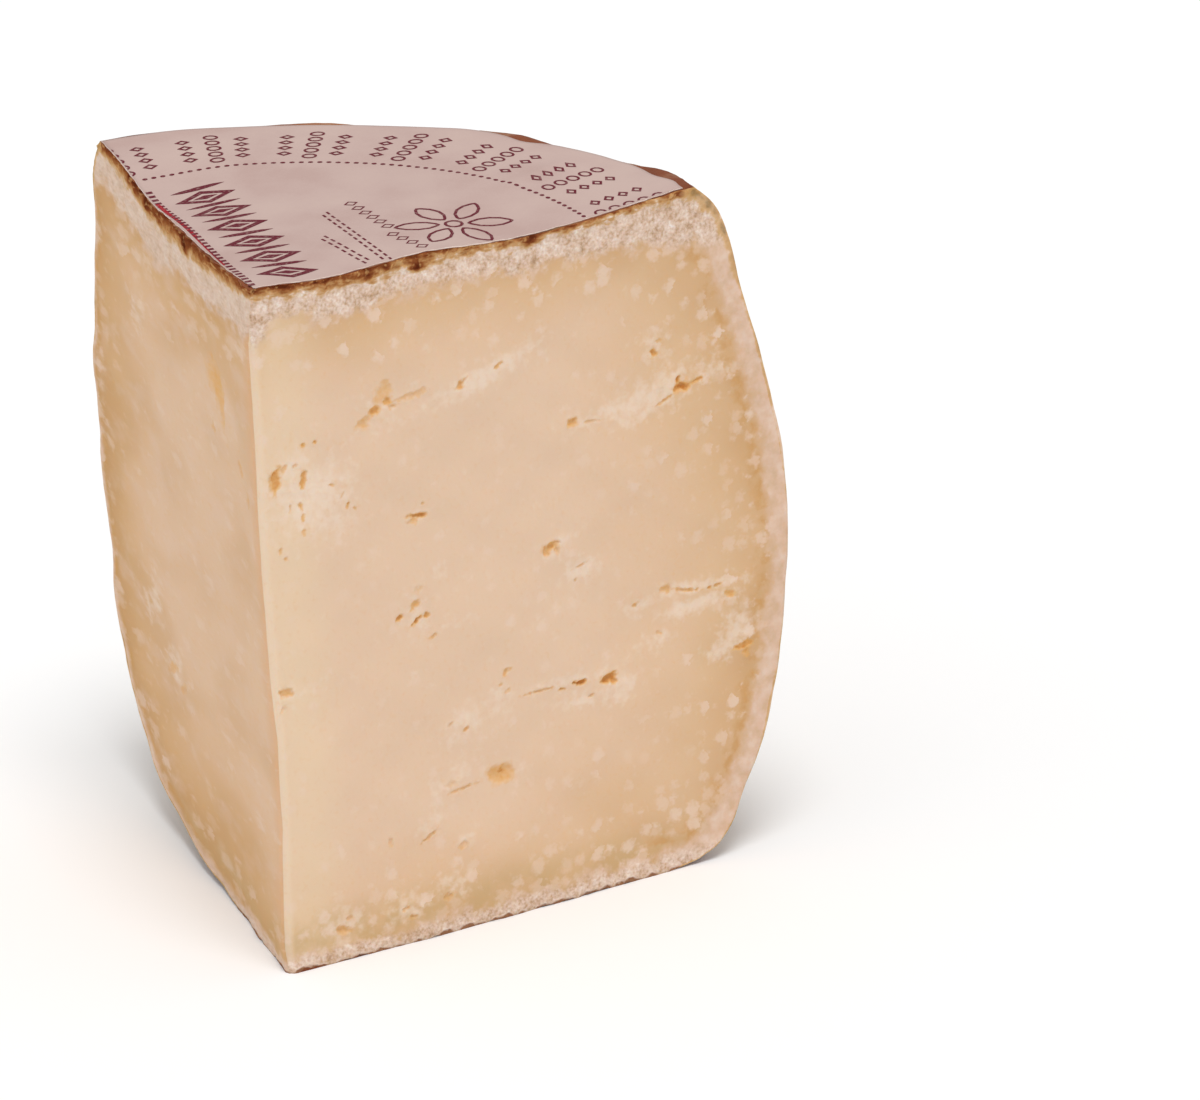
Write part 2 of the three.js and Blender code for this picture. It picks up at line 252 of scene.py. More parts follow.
RIGHT_EYES = [
    # the torn hollow in the upper part, its tail, and the slits that follow it
    (21.2, 101.2, 2.8, 2.1, 0.9, 20, 0.55), (23.2, 103.0, 2.4, 2.0, 1.1, 50, 0.8),
    (25.1, 106.3, 4.6, 2.7, 0.5, 62, 0.5), (25.8, 104.4, 2.0, 1.5, 0.9, 0, 0.75),
    (26.8, 103.2, 2.0, 1.2, 0.7, 0, 0.5), (30.8, 104.4, 6.4, 1.3, 0.5, 8, 0.4),
    (40.4, 104.4, 2.5, 1.2, 1.0, 36, 0.75), (48.1, 106.2, 1.7, 0.8, 0.8, 30, 0.7),
    # two pinholes below the hollow
    (9.0, 99.8, 0.9, 0.8, 0.6, 40, 0.7), (11.2, 99.9, 0.8, 0.8, 0.6, 0, 0.7),
    # the star shaped eye near the rind with its two tails, and the small eye above it
    (85.6, 93.7, 3.0, 2.3, 2.0, 15, 1.0), (84.8, 95.0, 1.6, 1.0, 1.2, 60, 0.9),
    (88.6, 94.1, 3.8, 0.8, 0.9, 14, 0.8), (82.0, 91.8, 5.0, 0.6, 0.7, 24, 0.6),
    (80.1, 101.0, 1.7, 1.6, 1.2, 0, 0.85), (81.2, 103.2, 1.6, 0.6, 0.5, 10, 0.5),
    # the eye left of them with its faint tail
    (62.7, 91.9, 1.7, 1.9, 1.4, 70, 0.75), (66.6, 91.2, 4.6, 0.6, 0.4, -6, 0.35),
    # crumbled pits beside the front edge
    (3.6, 94.3, 4.4, 1.8, 1.2, 80, 0.85), (5.2, 96.0, 1.8, 1.0, 0.6, 60, 0.5),
    (8.7, 93.2, 3.4, 1.3, 1.0, 78, 0.8), (7.2, 96.2, 1.4, 0.7, 0.5, 20, 0.4),
    (7.9, 88.8, 1.9, 0.7, 0.6, 100, 0.7), (8.2, 86.4, 1.6, 0.6, 0.5, 80, 0.6),
    (8.1, 83.8, 1.5, 0.7, 0.5, 95, 0.6), (6.0, 88.4, 1.6, 0.5, 0.5, 85, 0.5),
    (17.0, 87.0, 1.9, 0.7, 0.7, 75, 0.8), (18.3, 85.8, 0.9, 0.6, 0.5, -40, 0.6),
    (13.9, 91.2, 1.1, 0.5, 0.5, -30, 0.6), (15.8, 88.9, 1.2, 0.5, 0.4, 60, 0.4),
    (3.8, 81.0, 1.6, 0.6, 0.5, 70, 0.6), (4.6, 79.4, 0.8, 0.7, 0.5, 0, 0.6),
    # the arched slit, the pinhole over it and the arched eye
    (30.7, 81.4, 4.2, 1.0, 1.7, -6, 0.9), (29.7, 80.7, 2.0, 1.4, 0.9, 0, 0.55),
    (31.8, 83.5, 0.8, 0.7, 0.6, 0, 0.5), (57.0, 69.3, 3.0, 1.7, 1.7, 10, 0.75),
    (56.0, 68.3, 1.2, 1.8, 1.2, 0, 0.65), (58.2, 68.6, 1.0, 1.6, 0.9, 0, 0.6),
    (63.1, 64.3, 3.4, 0.6, 0.6, 15, 0.45), (61.9, 61.7, 0.8, 0.6, 0.6, 20, 0.55),
    # the torn group left of the middle
    (25.8, 63.1, 1.3, 1.0, 1.2, 30, 0.85), (29.0, 65.0, 2.6, 1.3, 1.1, 48, 0.65),
    (29.2, 61.7, 2.6, 0.9, 1.3, 36, 0.9), (31.2, 62.3, 1.0, 1.0, 1.1, 20, 0.85),
    (32.4, 58.2, 1.7, 0.7, 0.7, 26, 0.55), (29.7, 67.6, 1.8, 1.4, 0.4, 20, 0.25),
    # the crack by the rind, with an eye at its end
    (80.8, 55.3, 2.5, 1.5, 0.9, -12, 0.55), (85.0, 54.2, 5.8, 0.7, 0.9, -12, 0.65),
    (89.6, 53.6, 1.1, 0.8, 0.8, 10, 0.7), (91.4, 53.8, 2.0, 0.7, 0.8, 14, 0.7),
    (93.7, 51.6, 2.1, 1.4, 0.9, -20, 0.7), (74.2, 53.9, 1.5, 0.9, 0.7, 20, 0.6),
    (78.9, 47.3, 1.6, 0.7, 0.5, -20, 0.4), (96.1, 40.8, 3.4, 1.5, 1.0, 12, 0.85),
    (96.8, 39.4, 1.5, 2.0, 0.8, 0, 0.75),
    # the long crack with its two dark eyes, and small tears round it
    (53.2, 42.2, 5.8, 0.6, 0.7, 0, 0.5), (58.1, 41.4, 1.4, 0.6, 0.9, -10, 0.8),
    (61.9, 41.8, 3.0, 1.0, 1.9, -4, 1.0), (67.6, 41.2, 3.6, 1.7, 2.3, 12, 1.0),
    (68.6, 40.5, 1.6, 1.4, 1.4, 60, 0.9), (64.0, 38.8, 1.5, 0.7, 0.7, 30, 0.5),
    (46.8, 47.7, 2.0, 1.0, 0.9, 35, 0.65), (45.4, 45.4, 1.0, 0.7, 0.5, 20, 0.5),
    (47.0, 44.0, 1.5, 1.0, 0.4, 40, 0.35), (38.0, 38.6, 1.2, 0.8, 0.8, 20, 0.65),
    (34.8, 40.2, 1.6, 0.6, 0.4, 30, 0.35),
    # the big round eye, its dark core, and the crack left of it
    (44.9, 28.0, 5.0, 4.0, 1.7, 8, 0.65), (45.1, 28.5, 1.7, 1.2, 1.5, 20, 0.95),
    (37.0, 27.2, 6.0, 0.8, 0.7, 6, 0.45), (34.6, 28.6, 2.2, 1.4, 0.4, 20, 0.2),
    # small torn pits towards the base
    (29.5, 19.8, 3.8, 0.7, 0.9, 34, 0.48), (35.9, 16.4, 1.9, 1.2, 0.6, 30, 0.34),
    (21.6, 20.7, 0.9, 2.1, 0.6, 10, 0.31), (11.5, 5.8, 2.8, 1.5, 1.3, -14, 0.61),
    (12.7, 8.0, 1.6, 0.8, 0.7, 14, 0.48), (25.1, 5.2, 1.8, 0.9, 0.9, 0, 0.51),
    (23.8, 7.1, 1.7, 0.8, 0.8, 25, 0.51), (32.5, 7.4, 2.2, 1.5, 0.9, 15, 0.48),
    (2.9, 54.1, 2.9, 1.6, 1.3, 0, 0.6), (2.0, 51.2, 0.7, 2.0, 0.4, 140, 0.3),
]
LEFT_EYES = [
    (25.2, 105.2, 8.0, 7.6, 0.8, 70, 0.62), (22.6, 102.0, 5.0, 3.6, 0.6, 62, 0.55),
    (21.6, 99.2, 3.0, 2.6, 0.6, 70, 0.4), (27.6, 95.8, 2.6, 1.6, 0.5, 0, 0.4),
    (10.6, 93.6, 3.4, 1.8, 0.5, 60, 0.35), (7.6, 88.4, 3.0, 2.4, 0.5, 60, 0.35),
    (64.4, 35.6, 6.0, 2.2, 0.7, -24, 0.45), (58.6, 33.6, 4.0, 1.8, 0.6, -24, 0.35),
]
# Pale flaky ground round tears and cracks: distance, height, width, rise, tilt, strength.
RIGHT_TORN = [
    (24.3, 103.5, 8, 8, 40, 0.4), (45, 104.8, 24, 4.6, 15, 0.75), (26.2, 100.0, 6, 4, 0, 0.4),
    (80, 93.2, 20, 7, 18, 0.75), (72, 92.2, 14, 4, 6, 0.6), (92, 95.4, 9, 4, 4, 0.5),
    (66, 91.4, 14, 3.4, 0, 0.4), (80, 102.2, 6, 6, 0, 0.5),
    (9.7, 90, 16, 15, -30, 0.75), (7.0, 96, 9, 7, 0, 0.6), (14.4, 85, 12, 6, -30, 0.5),
    (31.1, 80.6, 7, 3, 0, 0.3), (57, 67.6, 6, 3, 0, 0.5), (63, 63.2, 8, 5, 15, 0.7),
    (60, 70.2, 9, 2.4, 10, 0.4), (29.3, 63.0, 9, 8, 20, 0.45), (36, 59.4, 10, 2.6, 10, 0.3),
    (86, 54.6, 22, 3, -4, 0.65), (86, 50.9, 16, 3, 6, 0.8), (75, 53.4, 7, 4, 10, 0.5),
    (94.5, 44, 7, 9, -40, 0.75), (91.5, 40.5, 7, 4, 10, 0.7), (79, 46, 4, 7, -30, 0.5),
    (70, 39.6, 7, 8, 0, 0.6), (58, 43.0, 22, 3, -2, 0.45), (62, 38.4, 14, 4, -6, 0.5),
    (74, 45, 10, 3, 40, 0.4), (45, 42, 8, 7, 40, 0.5), (38, 40.4, 9, 6, 30, 0.6),
    (36, 37.6, 7, 4, 30, 0.5), (48.6, 28.2, 4, 3, 0, 0.5), (37, 30.2, 9, 6, 20, 0.4),
    (31.9, 28, 5, 7, 0, 0.4), (30.0, 22.4, 8, 4, 30, 0.45), (36.6, 17.6, 6, 3, 20, 0.5),
    (12.5, 7.2, 8, 6, 0, 0.6), (24.7, 7, 8, 6, 0, 0.6), (34, 9.4, 8, 6, 0, 0.5),
    (3.2, 53.4, 6, 5, 0, 0.5), (8.0, 53.6, 14, 2.4, 2, 0.3), (34, 69.2, 5, 3, 50, 0.5),
]
LEFT_TORN = [
    (25, 103.6, 9, 12, 0, 0.3), (40, 92, 12, 14, 0, 0.25), (63, 36.6, 12, 9, -20, 0.45),
    (75, 45, 16, 8, -40, 0.5), (70, 104, 14, 8, -30, 0.4),
]
EYE_SHALLOWNESS = 0.36
# How much deeper an eye is towards its upper end, and the least and the most of that
EYE_OVERHANG = (0.45, 0.4, 1.6)
# A raised lip round each eye: height in mm, and where it lies and how wide it is as shares of the eye
EYE_LIP = (0.05, 1.25, 0.25)
# Where an eye's stain and painted shade end and how long they fade, as shares of the eye
EYE_STAIN_AND_SHADE = (1.35, 0.75)
# How fast torn ground fades out from its middle
TORN_FALL = 0.9
# How ragged an eye's outline is, from the smallest eyes to the largest: their widths and the shares
EYE_RAGGED = ((1.0, 3.5), (0.45, 0.26))
# What the cut faces store: mm inside the top and base bands, mm inside the side band, tone of the
# crust, darkness of an eye (stain and painted shade), paleness of torn ground, mm inside for the
# paste's colour, grain of the band, and share of the skin's thickness.
CUT_FIELDS = ("rim", "flank", "crust", "eye", "torn", "inner", "coarse", "skin")

# The crust along the top of each cut, the dry, mealy band inside its top, side and base, and the skin
# of its side. Each list gives places along the cut, or heights for the side and the skin, with a
# thickness there, in mm. Browning is how dark the crust gets, by place along the cut. A char mark is
# its place, height, reach and strength.
CUTS = {
    "right": {
        "along": RIGHT_ALONG, "outward": RIGHT_OUT, "shift": 0.0, "seed": 1,
        "eyes": RIGHT_EYES, "torn": RIGHT_TORN,
        "crust": [(0, 2.2), (8, 2.6), (14, 2.7), (20, 2.1), (24, 3.6), (28, 2.8), (33, 3.2), (40, 2.4),
                  (46, 1.7), (53, 2.4), (57, 1.7), (61, 0.9), (65, 1.6), (72, 1.6), (80, 1.6), (90, 1.9)],
        "band": [(0, 10.5), (2.5, 8.0), (4.5, 3.9), (9, 3.3), (14, 4.2), (19, 5.2), (24, 3.6),
                 (33, 2.9), (45, 3.8), (58, 4.4), (68, 5.2), (80, 6.6), (90, 9.0)],
        "side": [(0, 3.6), (8, 4.4), (20, 4.0), (60, 3.6), (100, 3.8), (115, 4.6), (130, 8.0)],
        "base": [(0, 2.4), (30, 2.8), (60, 3.0), (95, 2.8)],
        "skin": [(0, 0.3), (80, 0.15), (95, 0.4), (104, 0.9), (112, 1.1), (122, 1.3), (130, 2.0)],
        "browning": [(0, 1.1), (24, 1.0), (40, 0.85), (62, 0.75), (80, 0.65), (92, 0.4)],
        "char": [(33.5, 127.8, 1.3, 0.8), (24, 128.4, 1.4, 0.4), (56.5, 127.6, 1.2, 0.6)],
    },
    "left": {
        "along": LEFT_ALONG, "outward": LEFT_OUT, "shift": LEFT_SHIFT, "seed": 2,
        "eyes": LEFT_EYES, "torn": LEFT_TORN,
        "crust": [(0, 2.2), (10, 3.3), (30, 3.8), (45, 4.2), (60, 4.0), (80, 3.4), (90, 2.2)],
        "band": [(0, 6.5), (20, 6.0), (60, 6.0), (90, 5.5)],
        "side": [(0, 1.7), (20, 1.4), (40, 0.6), (130, 0.6)],
        "base": [(0, 2.0), (30, 1.9), (95, 1.8)],
        "skin": [(0, 0.4), (80, 0.3), (110, 0.6), (130, 1.2)],
        "browning": [(0, 1.1), (10, 1.1), (70, 1.15), (90, 0.9)],
        "char": [(36.7, 127.4, 1.8, 1.0), (62.0, 127.0, 1.6, 0.4)],
    },
}


def along_list(stations, place):
    points = np.array(stations, float)
    return np.interp(place, points[:, 0], points[:, 1])


def in_ellipse(across, up, width, rise, tilt):
    """Places over a tilted ellipse in its own axes, where its outline lies at a radius of one."""
    turn = math.radians(tilt)
    flat = (across * math.cos(turn) + up * math.sin(turn)) / (width / 2)
    steep = (up * math.cos(turn) - across * math.sin(turn)) / (rise / 2)
    return flat, steep


def eye_fields(distance, height, eyes, torn, seed):
    """Depth, darkness (a stain with painted shade) and paleness that the eyes and tears give each point
    of a cut face.
    """
    points = np.stack([distance, height, np.full(len(distance), seed * 3.7)], 1)
    depth = np.zeros(len(distance))
    dark = np.zeros(len(distance))
    pale = np.zeros(len(distance))
    for index, (at, level, width, rise, deep, tilt, darkness) in enumerate(eyes):
        reach = max(width, rise)
        near = np.flatnonzero((abs(distance - at) < reach) & (abs(height - level) < reach))
        if not len(near):
            continue
        up = height[near] - level
        flat, steep = in_ellipse(distance[near] - at, up, width, rise, tilt)
        ragged = fractal(points[near], 0.4 * min(width, rise) + 0.4, seed + index, 3)
        ring = np.sqrt(flat**2 + steep**2) + np.interp(min(width, rise), *EYE_RAGGED) * ragged
        inside = EYE_SHALLOWNESS * np.clip(1 - ring**2, 0, None)
        overhang, least, most = EYE_OVERHANG
        inside *= np.clip(1 + overhang * up / (reach / 2), least, most)
        lip_height, lip_place, lip_width = EYE_LIP
        lip = lip_height * np.exp(-((ring - lip_place) / lip_width) ** 2)
        depth[near] = np.maximum(depth[near], deep * inside * (1 + 0.15 * ragged)) - lip
        # painted shade and stain: the inside of each eye is darkened, fading out beyond its rim
        stain = np.clip(EYE_STAIN_AND_SHADE[0] - ring, 0, EYE_STAIN_AND_SHADE[1]) / EYE_STAIN_AND_SHADE[1]
        dark[near] = np.maximum(dark[near], darkness * stain)
    for at, level, width, rise, tilt, strength in torn:
        flat, steep = in_ellipse(distance - at, height - level, width, rise, tilt)
        pale = np.maximum(pale, strength * np.exp(-TORN_FALL * (flat**2 + steep**2)))
    return depth, dark, pale


def as_mesh(bm, name):
    mesh = bpy.data.meshes.new(name)
    bm.to_mesh(mesh)
    bm.free()
    return mesh


# The cheese. Its relief is in lumps: height and size in mm, seed, octaves.

RELIEF = {
    "paste": ((0.07, 7.0, 11, 2),),
    "meal": ((0.08, 2.6, 21, 2), (0.05, 0.9, 26, 1)),
    "flakes": ((0.1, 2.2, 31, 2), (0.05, 0.9, 36, 1)),
    "crust": ((0.3, 2.0, 41, 2),),
    "rind": ((0.3, 14.0, 51, 2), (0.2, 4.0, 61, 2)),
    "bare top": ((0.1, 1.8, 71, 2),),
    "foot": ((1.0, 3.2, 81, 2),),
}
# The crust stands proud by this much. The meal's relief is weaker at the side than elsewhere.
CRUST_SWELL = 0.15
MEAL_SHARES = (0.3, 0.7)
# Where relief fades in: mm inside the band and inside the side band, and shares of the crust
BAND_FADE = (2.0, -1.0)
SIDE_FADE = (1.5, -1.0)
CRUST_FADE = (1.1, 0.4)


def lumps(kind, points, seed=0):
    """Relief of one kind at each point, in millimetres."""
    return sum(
        height * fractal(points, size, first + seed, octaves)
        for height, size, first, octaves in RELIEF[kind]
    )


def unit_wedge():
    """One closed mesh. A grid is the right cut face, its outline is spun about the front edge as the
    top, the rind and the base, and a turned copy of the grid is the left cut face."""
    bm = bmesh.new()
    column_layer = bm.verts.layers.float.new("column")
    row_layer = bm.verts.layers.float.new("row")
    bmesh.ops.create_grid(bm, x_segments=COLUMNS, y_segments=ROWS, size=0.5)
    for vert in bm.verts:
        vert[column_layer] = round((vert.co.x + 0.5) * COLUMNS)
        vert[row_layer] = round((vert.co.y + 0.5) * ROWS)
        share = vert.co.x + 0.5
        height = vert.co.y + 0.5
        vert.co = Vector((share * RIGHT_ALONG[0], share * RIGHT_ALONG[1], height))
    right_faces = list(bm.faces)
    outline = [
        edge for edge in bm.edges
        if edge.is_boundary and max(v[column_layer] for v in edge.verts) > 0
    ]
    copy = bmesh.ops.duplicate(bm, geom=right_faces)["geom"]
    left_faces = [item for item in copy if isinstance(item, bmesh.types.BMFace)]
    left_verts = [item for item in copy if isinstance(item, bmesh.types.BMVert)]
    turn = Matrix.Rotation(WEDGE_ANGLE, 3, "Z")
    bmesh.ops.rotate(bm, verts=left_verts, cent=(0, 0, 0), matrix=turn)
    bmesh.ops.reverse_faces(bm, faces=left_faces)
    bmesh.ops.spin(
        bm, geom=outline, cent=(0, 0, 0), axis=(0, 0, 1), angle=WEDGE_ANGLE,
        steps=SWEEP_STEPS, use_merge=False, use_duplicate=False,
    )
    bmesh.ops.remove_doubles(bm, verts=bm.verts, dist=1e-6)
    bmesh.ops.dissolve_degenerate(bm, edges=bm.edges, dist=1e-6)
    bmesh.ops.recalc_face_normals(bm, faces=bm.faces)
    return bm, column_layer, row_layer


def place_smooth(bm, column_layer, row_layer):
    column = np.array([vert[column_layer] for vert in bm.verts])
    row = np.array([vert[row_layer] for vert in bm.verts])
    bearing = np.array([math.atan2(vert.co.x, vert.co.y) for vert in bm.verts])
    bearing = np.clip(bearing, -HALF_ANGLE, HALF_ANGLE)
    x, y, height = smooth_place(column, row, bearing)
    for index, vert in enumerate(bm.verts):
        vert.co = Vector((x[index], y[index], height[index]))


def faces_on(bm, cut):
    """The faces that lie on a cut plane, each with its distance from the front edge and height."""
    outward = Vector(cut["outward"])
    found = []
    for face in bm.faces:
        if all(abs(vert.co.dot(outward)) < 1e-4 for vert in face.verts):
            centre = face.calc_center_median()
            found.append((face, math.hypot(centre.x, centre.y), centre.z))
    return found


def refine(bm, cut, wanted):
    """Halves the edges of the faces on a cut that wanted(distance, height) names."""
    faces = [face for face, distance, height in faces_on(bm, cut) if wanted(distance, height)]
    edges = list({edge for face in faces for edge in face.edges})
    bmesh.ops.subdivide_edges(bm, edges=edges, cuts=1, use_grid_fill=True)


def near_eye(cut, margin):
    """Names the faces in and round the eyes of a cut, with a margin in millimetres."""
    def wanted(distance, height):
        for at, level, width, rise, *rest in cut["eyes"]:
            reach = max(width, rise) / 2 + margin
            if abs(distance - at) < reach and abs(height - level) < reach:
                return True
        return False
    return wanted


def near_rind(cut, base_band, top_share=0.0, side_band=0.0, front_band=0.0):
    """Names the faces in a cut's crust, in a share of its band, and so near its other borders."""
    bearing = math.atan2(cut["along"][0], cut["along"][1])
    rows = np.arange(ROWS + 1)
    rind = section(rows, np.full(len(rows), bearing))

    def wanted(distance, height):
        x = distance * cut["along"][0]
        y = distance * cut["along"][1]
        level = WHEEL_HEIGHT + float(top_lift(x, y))
        side = float(np.interp(height, rind[:, 1], rind[:, 0]))
        top_band = along_list(cut["crust"], distance) + top_share * along_list(cut["band"], distance)
        return (height > level - top_band or distance > side - side_band
                or height < base_band or distance < front_band)
    return wanted


def rind_depths(co, distance, bearing):
    """How far each point lies below the side, the top and the base, in millimetres."""
    side = np.full(len(co), FAR_INSIDE)
    rows = np.linspace(0, ROWS, RIND_CHORDS + 1)
    for start, end in zip(rows[:-1], rows[1:]):
        low = section(np.full(len(co), start), bearing)
        high = section(np.full(len(co), end), bearing)
        span = high - low
        offset = np.stack([distance, co[:, 2]], 1) - low
        share = np.clip((offset * span).sum(1) / np.maximum((span**2).sum(1), 1e-9), 0, 1)
        side = np.minimum(side, np.linalg.norm(offset - span * share[:, None], axis=1))
    top = WHEEL_HEIGHT + top_lift(co[:, 0], co[:, 1]) - co[:, 2]
    return side, np.maximum(top, 0), np.maximum(co[:, 2], 0)


def cheese_mesh():
    bm, column_layer, row_layer = unit_wedge()
    place_smooth(bm, column_layer, row_layer)
    for cut in CUTS.values():
        refine(bm, cut, near_rind(cut, top_share=0.9, side_band=3.0, base_band=3.0, front_band=2.0))
        refine(bm, cut, near_eye(cut, 1.2))
        refine(bm, cut, near_eye(cut, 0.5))
    refine(bm, CUTS["right"], near_rind(CUTS["right"], base_band=1.0))
    for face in bm.faces:
        face.smooth = True
        face.material_index = 1
    for cut in CUTS.values():
        for face, distance, height in faces_on(bm, cut):
            face.material_index = 0
    return as_mesh(bm, "cheese")


def relieve_cut(cut, co, moved, distance, depths, fields):
    """Gives one cut face its torn eyes, its mealy rind and its crust."""
    at = np.flatnonzero(np.abs(co @ cut["outward"]) < ON_CUT)
    along = distance[at]
    level = co[at, 2]
    side_depth, top_depth, base_depth = (depth[at] for depth in depths)
    crust = along_list(cut["crust"], along)
    top_rim = top_depth - crust - along_list(cut["band"], along)
    side_rim = side_depth - along_list(cut["side"], level)
    base_rim = base_depth - along_list(cut["base"], along)
    rim = np.minimum(top_rim, base_rim)
    # the paste's colour changes twice as fast below the top and over the base as at the side
    inner = np.minimum(np.minimum(2.0 * top_rim + 3, side_rim), 2.0 * base_rim)
    coarse = smooth_step(*BAND_FADE, rim)
    depth, dark, pale = eye_fields(along, level, cut["eyes"], cut["torn"], cut["seed"])
    char = np.zeros(len(at))
    for spot, height, reach, strength in cut["char"]:
        char += strength * np.exp(-((along - spot) ** 2 + (level - height) ** 2) / reach**2)
    share = top_depth / crust
    browned = 1 - (1 - share) * along_list(cut["browning"], along)
    tone = np.where(share > 1, share, browned) - char
    skin = side_depth / along_list(cut["skin"], level)
    for name, values in zip(CUT_FIELDS, (rim, side_rim, tone, dark, pale, inner, coarse, skin)):
        fields[name][at] = values

    seed = cut["seed"]
    points = np.stack([along, level, np.full(len(at), 50.0 * seed)], 1)
    relief = wave_sum(CUT_WAVES, along + cut["shift"], level) * smooth_step(0, WAVE_START, along)
    relief += lumps("paste", points, seed)
    side_share, rim_share = MEAL_SHARES
    mealy = side_share * smooth_step(*SIDE_FADE, side_rim) + rim_share * coarse
    relief += lumps("meal", points, seed) * mealy
    relief += pale * lumps("flakes", points, seed)
    relief += smooth_step(*CRUST_FADE, share) * (CRUST_SWELL + lumps("crust", points, seed))
    relief -= depth
    moved[at] += cut["outward"] * relief[:, None]


def depth_in_cuts(co):
    return np.minimum(np.abs(co @ RIGHT_OUT), np.abs(co @ LEFT_OUT))


def relieve_rind(co, moved, distance, bearing, depths):
    """Gives the top, the side and the base the lumps and the grain of a dry rind."""
    side_depth, top_depth, base_depth = depths
    from_cut = depth_in_cuts(co)
    fade = smooth_step(0, 3, from_cut)
    side = np.flatnonzero((side_depth < ON_RIND) & (from_cut > ON_CUT))
    relief = lumps("rind", co[side]) * fade[side]
    relief *= smooth_step(2.0, 6.0, np.minimum(top_depth, base_depth)[side])
    moved[side, 0] += np.sin(bearing[side]) * relief
    moved[side, 1] += np.cos(bearing[side]) * relief
    top = np.flatnonzero((top_depth < ON_RIND) & (from_cut > ON_CUT))
    bare = smooth_step(LABEL_RADIUS - 2, LABEL_RADIUS + 1, distance[top])
    moved[top, 2] += lumps("bare top", co[top]) * fade[top] * bare


def relieve(mesh):
    """Moves the smooth wedge's points by its relief and stores what the materials read."""
    count = len(mesh.vertices)
    co = np.zeros(count * 3)
    mesh.vertices.foreach_get("co", co)
    co = co.reshape(-1, 3)
    distance = np.hypot(co[:, 0], co[:, 1])
    bearing = np.clip(np.arctan2(co[:, 0], co[:, 1]), -HALF_ANGLE, HALF_ANGLE)
    depths = rind_depths(co, distance, bearing)
    fields = {name: np.zeros(count) for name in CUT_FIELDS}
    fields["base"] = depths[2]
    fields["front"] = distance * np.sign(co[:, 0] + 1e-6)
    moved = co.copy()
    for cut in CUTS.values():
        relieve_cut(cut, co, moved, distance, depths, fields)
    relieve_rind(co, moved, distance, bearing, depths)
    moved[:, 0] += edge_lean(distance, co[:, 2])
    moved[:, 1] += EDGE_ROUNDING * np.exp(-((distance / EDGE_ROUNDING_REACH) ** 2))
    moved[:, 2] = np.maximum(moved[:, 2], 0)
    foot = np.flatnonzero((co[:, 2] < 1e-3) & (depth_in_cuts(co) < ON_CUT))
    moved[foot, 2] += FOOT_GAPS * np.clip(lumps("foot", co[foot]), 0, 1)
    moved = moved * MM + FRONT_EDGE
    mesh.vertices.foreach_set("co", moved.ravel())
    for name, values in fields.items():
        attribute = mesh.attributes.new(name, "FLOAT", "POINT")
        attribute.data.foreach_set("value", values.astype(np.float32))
    mesh.update()


# The label: a sector of paper, laid on the top face from cut to cut

def paper_level(x, y):
    """Height of the paper's upper side: the top face, a small gap, cockles and one fold."""
    fold_x, fold_y = PAPER_FOLD
    reach = math.hypot(fold_x, fold_y)
    along = (x * fold_x + y * fold_y) / reach
    across = (x * fold_y - y * fold_x) / reach
    before, beyond, back = PAPER_FOLD_ENDS
    fold = math.exp(-((across / PAPER_FOLD_WIDTH) ** 2))
    fold *= float(smooth_step(reach - before, reach + beyond, along))
    fold *= float(smooth_step(LABEL_RADIUS, LABEL_RADIUS - back, along))
    sheet = PAPER_GAP + PAPER_THICKNESS + PAPER_FOLD_HEIGHT * fold
    for height, size, seed in PAPER_COCKLES:
        sheet += height * noise.noise(Vector((x / size, y / size, seed)))
    return WHEEL_HEIGHT + float(top_lift(x, y)) + sheet


def label_radius(bearing):
    radius = LABEL_RADIUS
    for middle, depth, half_width in LABEL_BAYS:
        radius = radius - depth * np.exp(-((np.degrees(bearing) - middle) / half_width) ** 2)
    return radius


def lay_on_paper(bm, clearance, thickness):
    """Lays a flat sheet over the paper's upper side and thickens it downwards."""
    bm.normal_update()
    bmesh.ops.reverse_faces(bm, faces=[face for face in bm.faces if face.normal.z < 0])
    for vert in bm.verts:
        vert.co.z = paper_level(vert.co.x, vert.co.y) + clearance
    bm.normal_update()
    bmesh.ops.solidify(bm, geom=bm.faces[:], thickness=thickness)


def label_mesh():
    bm = bmesh.new()
    bmesh.ops.create_grid(bm, x_segments=LABEL_RINGS, y_segments=LABEL_RAYS, size=0.5)
    tip = LABEL_INSET / math.sin(HALF_ANGLE)
    for vert in bm.verts:
        share = vert.co.x + 0.5
        side = 2 * vert.co.y
        bearing = side * HALF_ANGLE
        length = share * (label_radius(bearing) - tip * math.cos(bearing))
        drawn_in = math.exp(-length / LABEL_TIP_FADE)
        x = length * math.sin(bearing) + LABEL_TIP_SHIFT[0] * drawn_in
        y = tip + length * math.cos(bearing) + LABEL_TIP_SHIFT[1] * drawn_in
        if abs(side) > 0.999:
            outward = RIGHT_OUT if side > 0 else LEFT_OUT
            reach = LABEL_RAGGED[0] * noise.noise(Vector((length / LABEL_RAGGED[1], side * 9, 4)))
            shift = 0.0 if side > 0 else LEFT_SHIFT
            wave = wave_sum(CUT_WAVES, length + shift, WHEEL_HEIGHT) * smooth_step(0, WAVE_START, length)
            reach += LABEL_OVERHANG + max(float(wave), 0.0)
            x += outward[0] * reach
            y += outward[1] * reach
        vert.co = Vector((x, y, 0))
    bmesh.ops.remove_doubles(bm, verts=bm.verts, dist=1e-4)
    lay_on_paper(bm, 0.0, PAPER_THICKNESS)
    for face in bm.faces:
        face.smooth = True
        face.material_index = 1 if abs(face.normal.z) < 0.5 else 0
    return finished(bm, "label")


# The print: plain ornament of lozenges, ovals and dots in two inks. Lengths in mm, bearings in degrees.

RING_CENTRE = (-0.56, 5.59)
RING_RADIUS = 63.67
RING_DOTS = 57
RING_START = 130.96
RING_STEP = 1.52
DOT_SIZE = (1.0, 0.8)

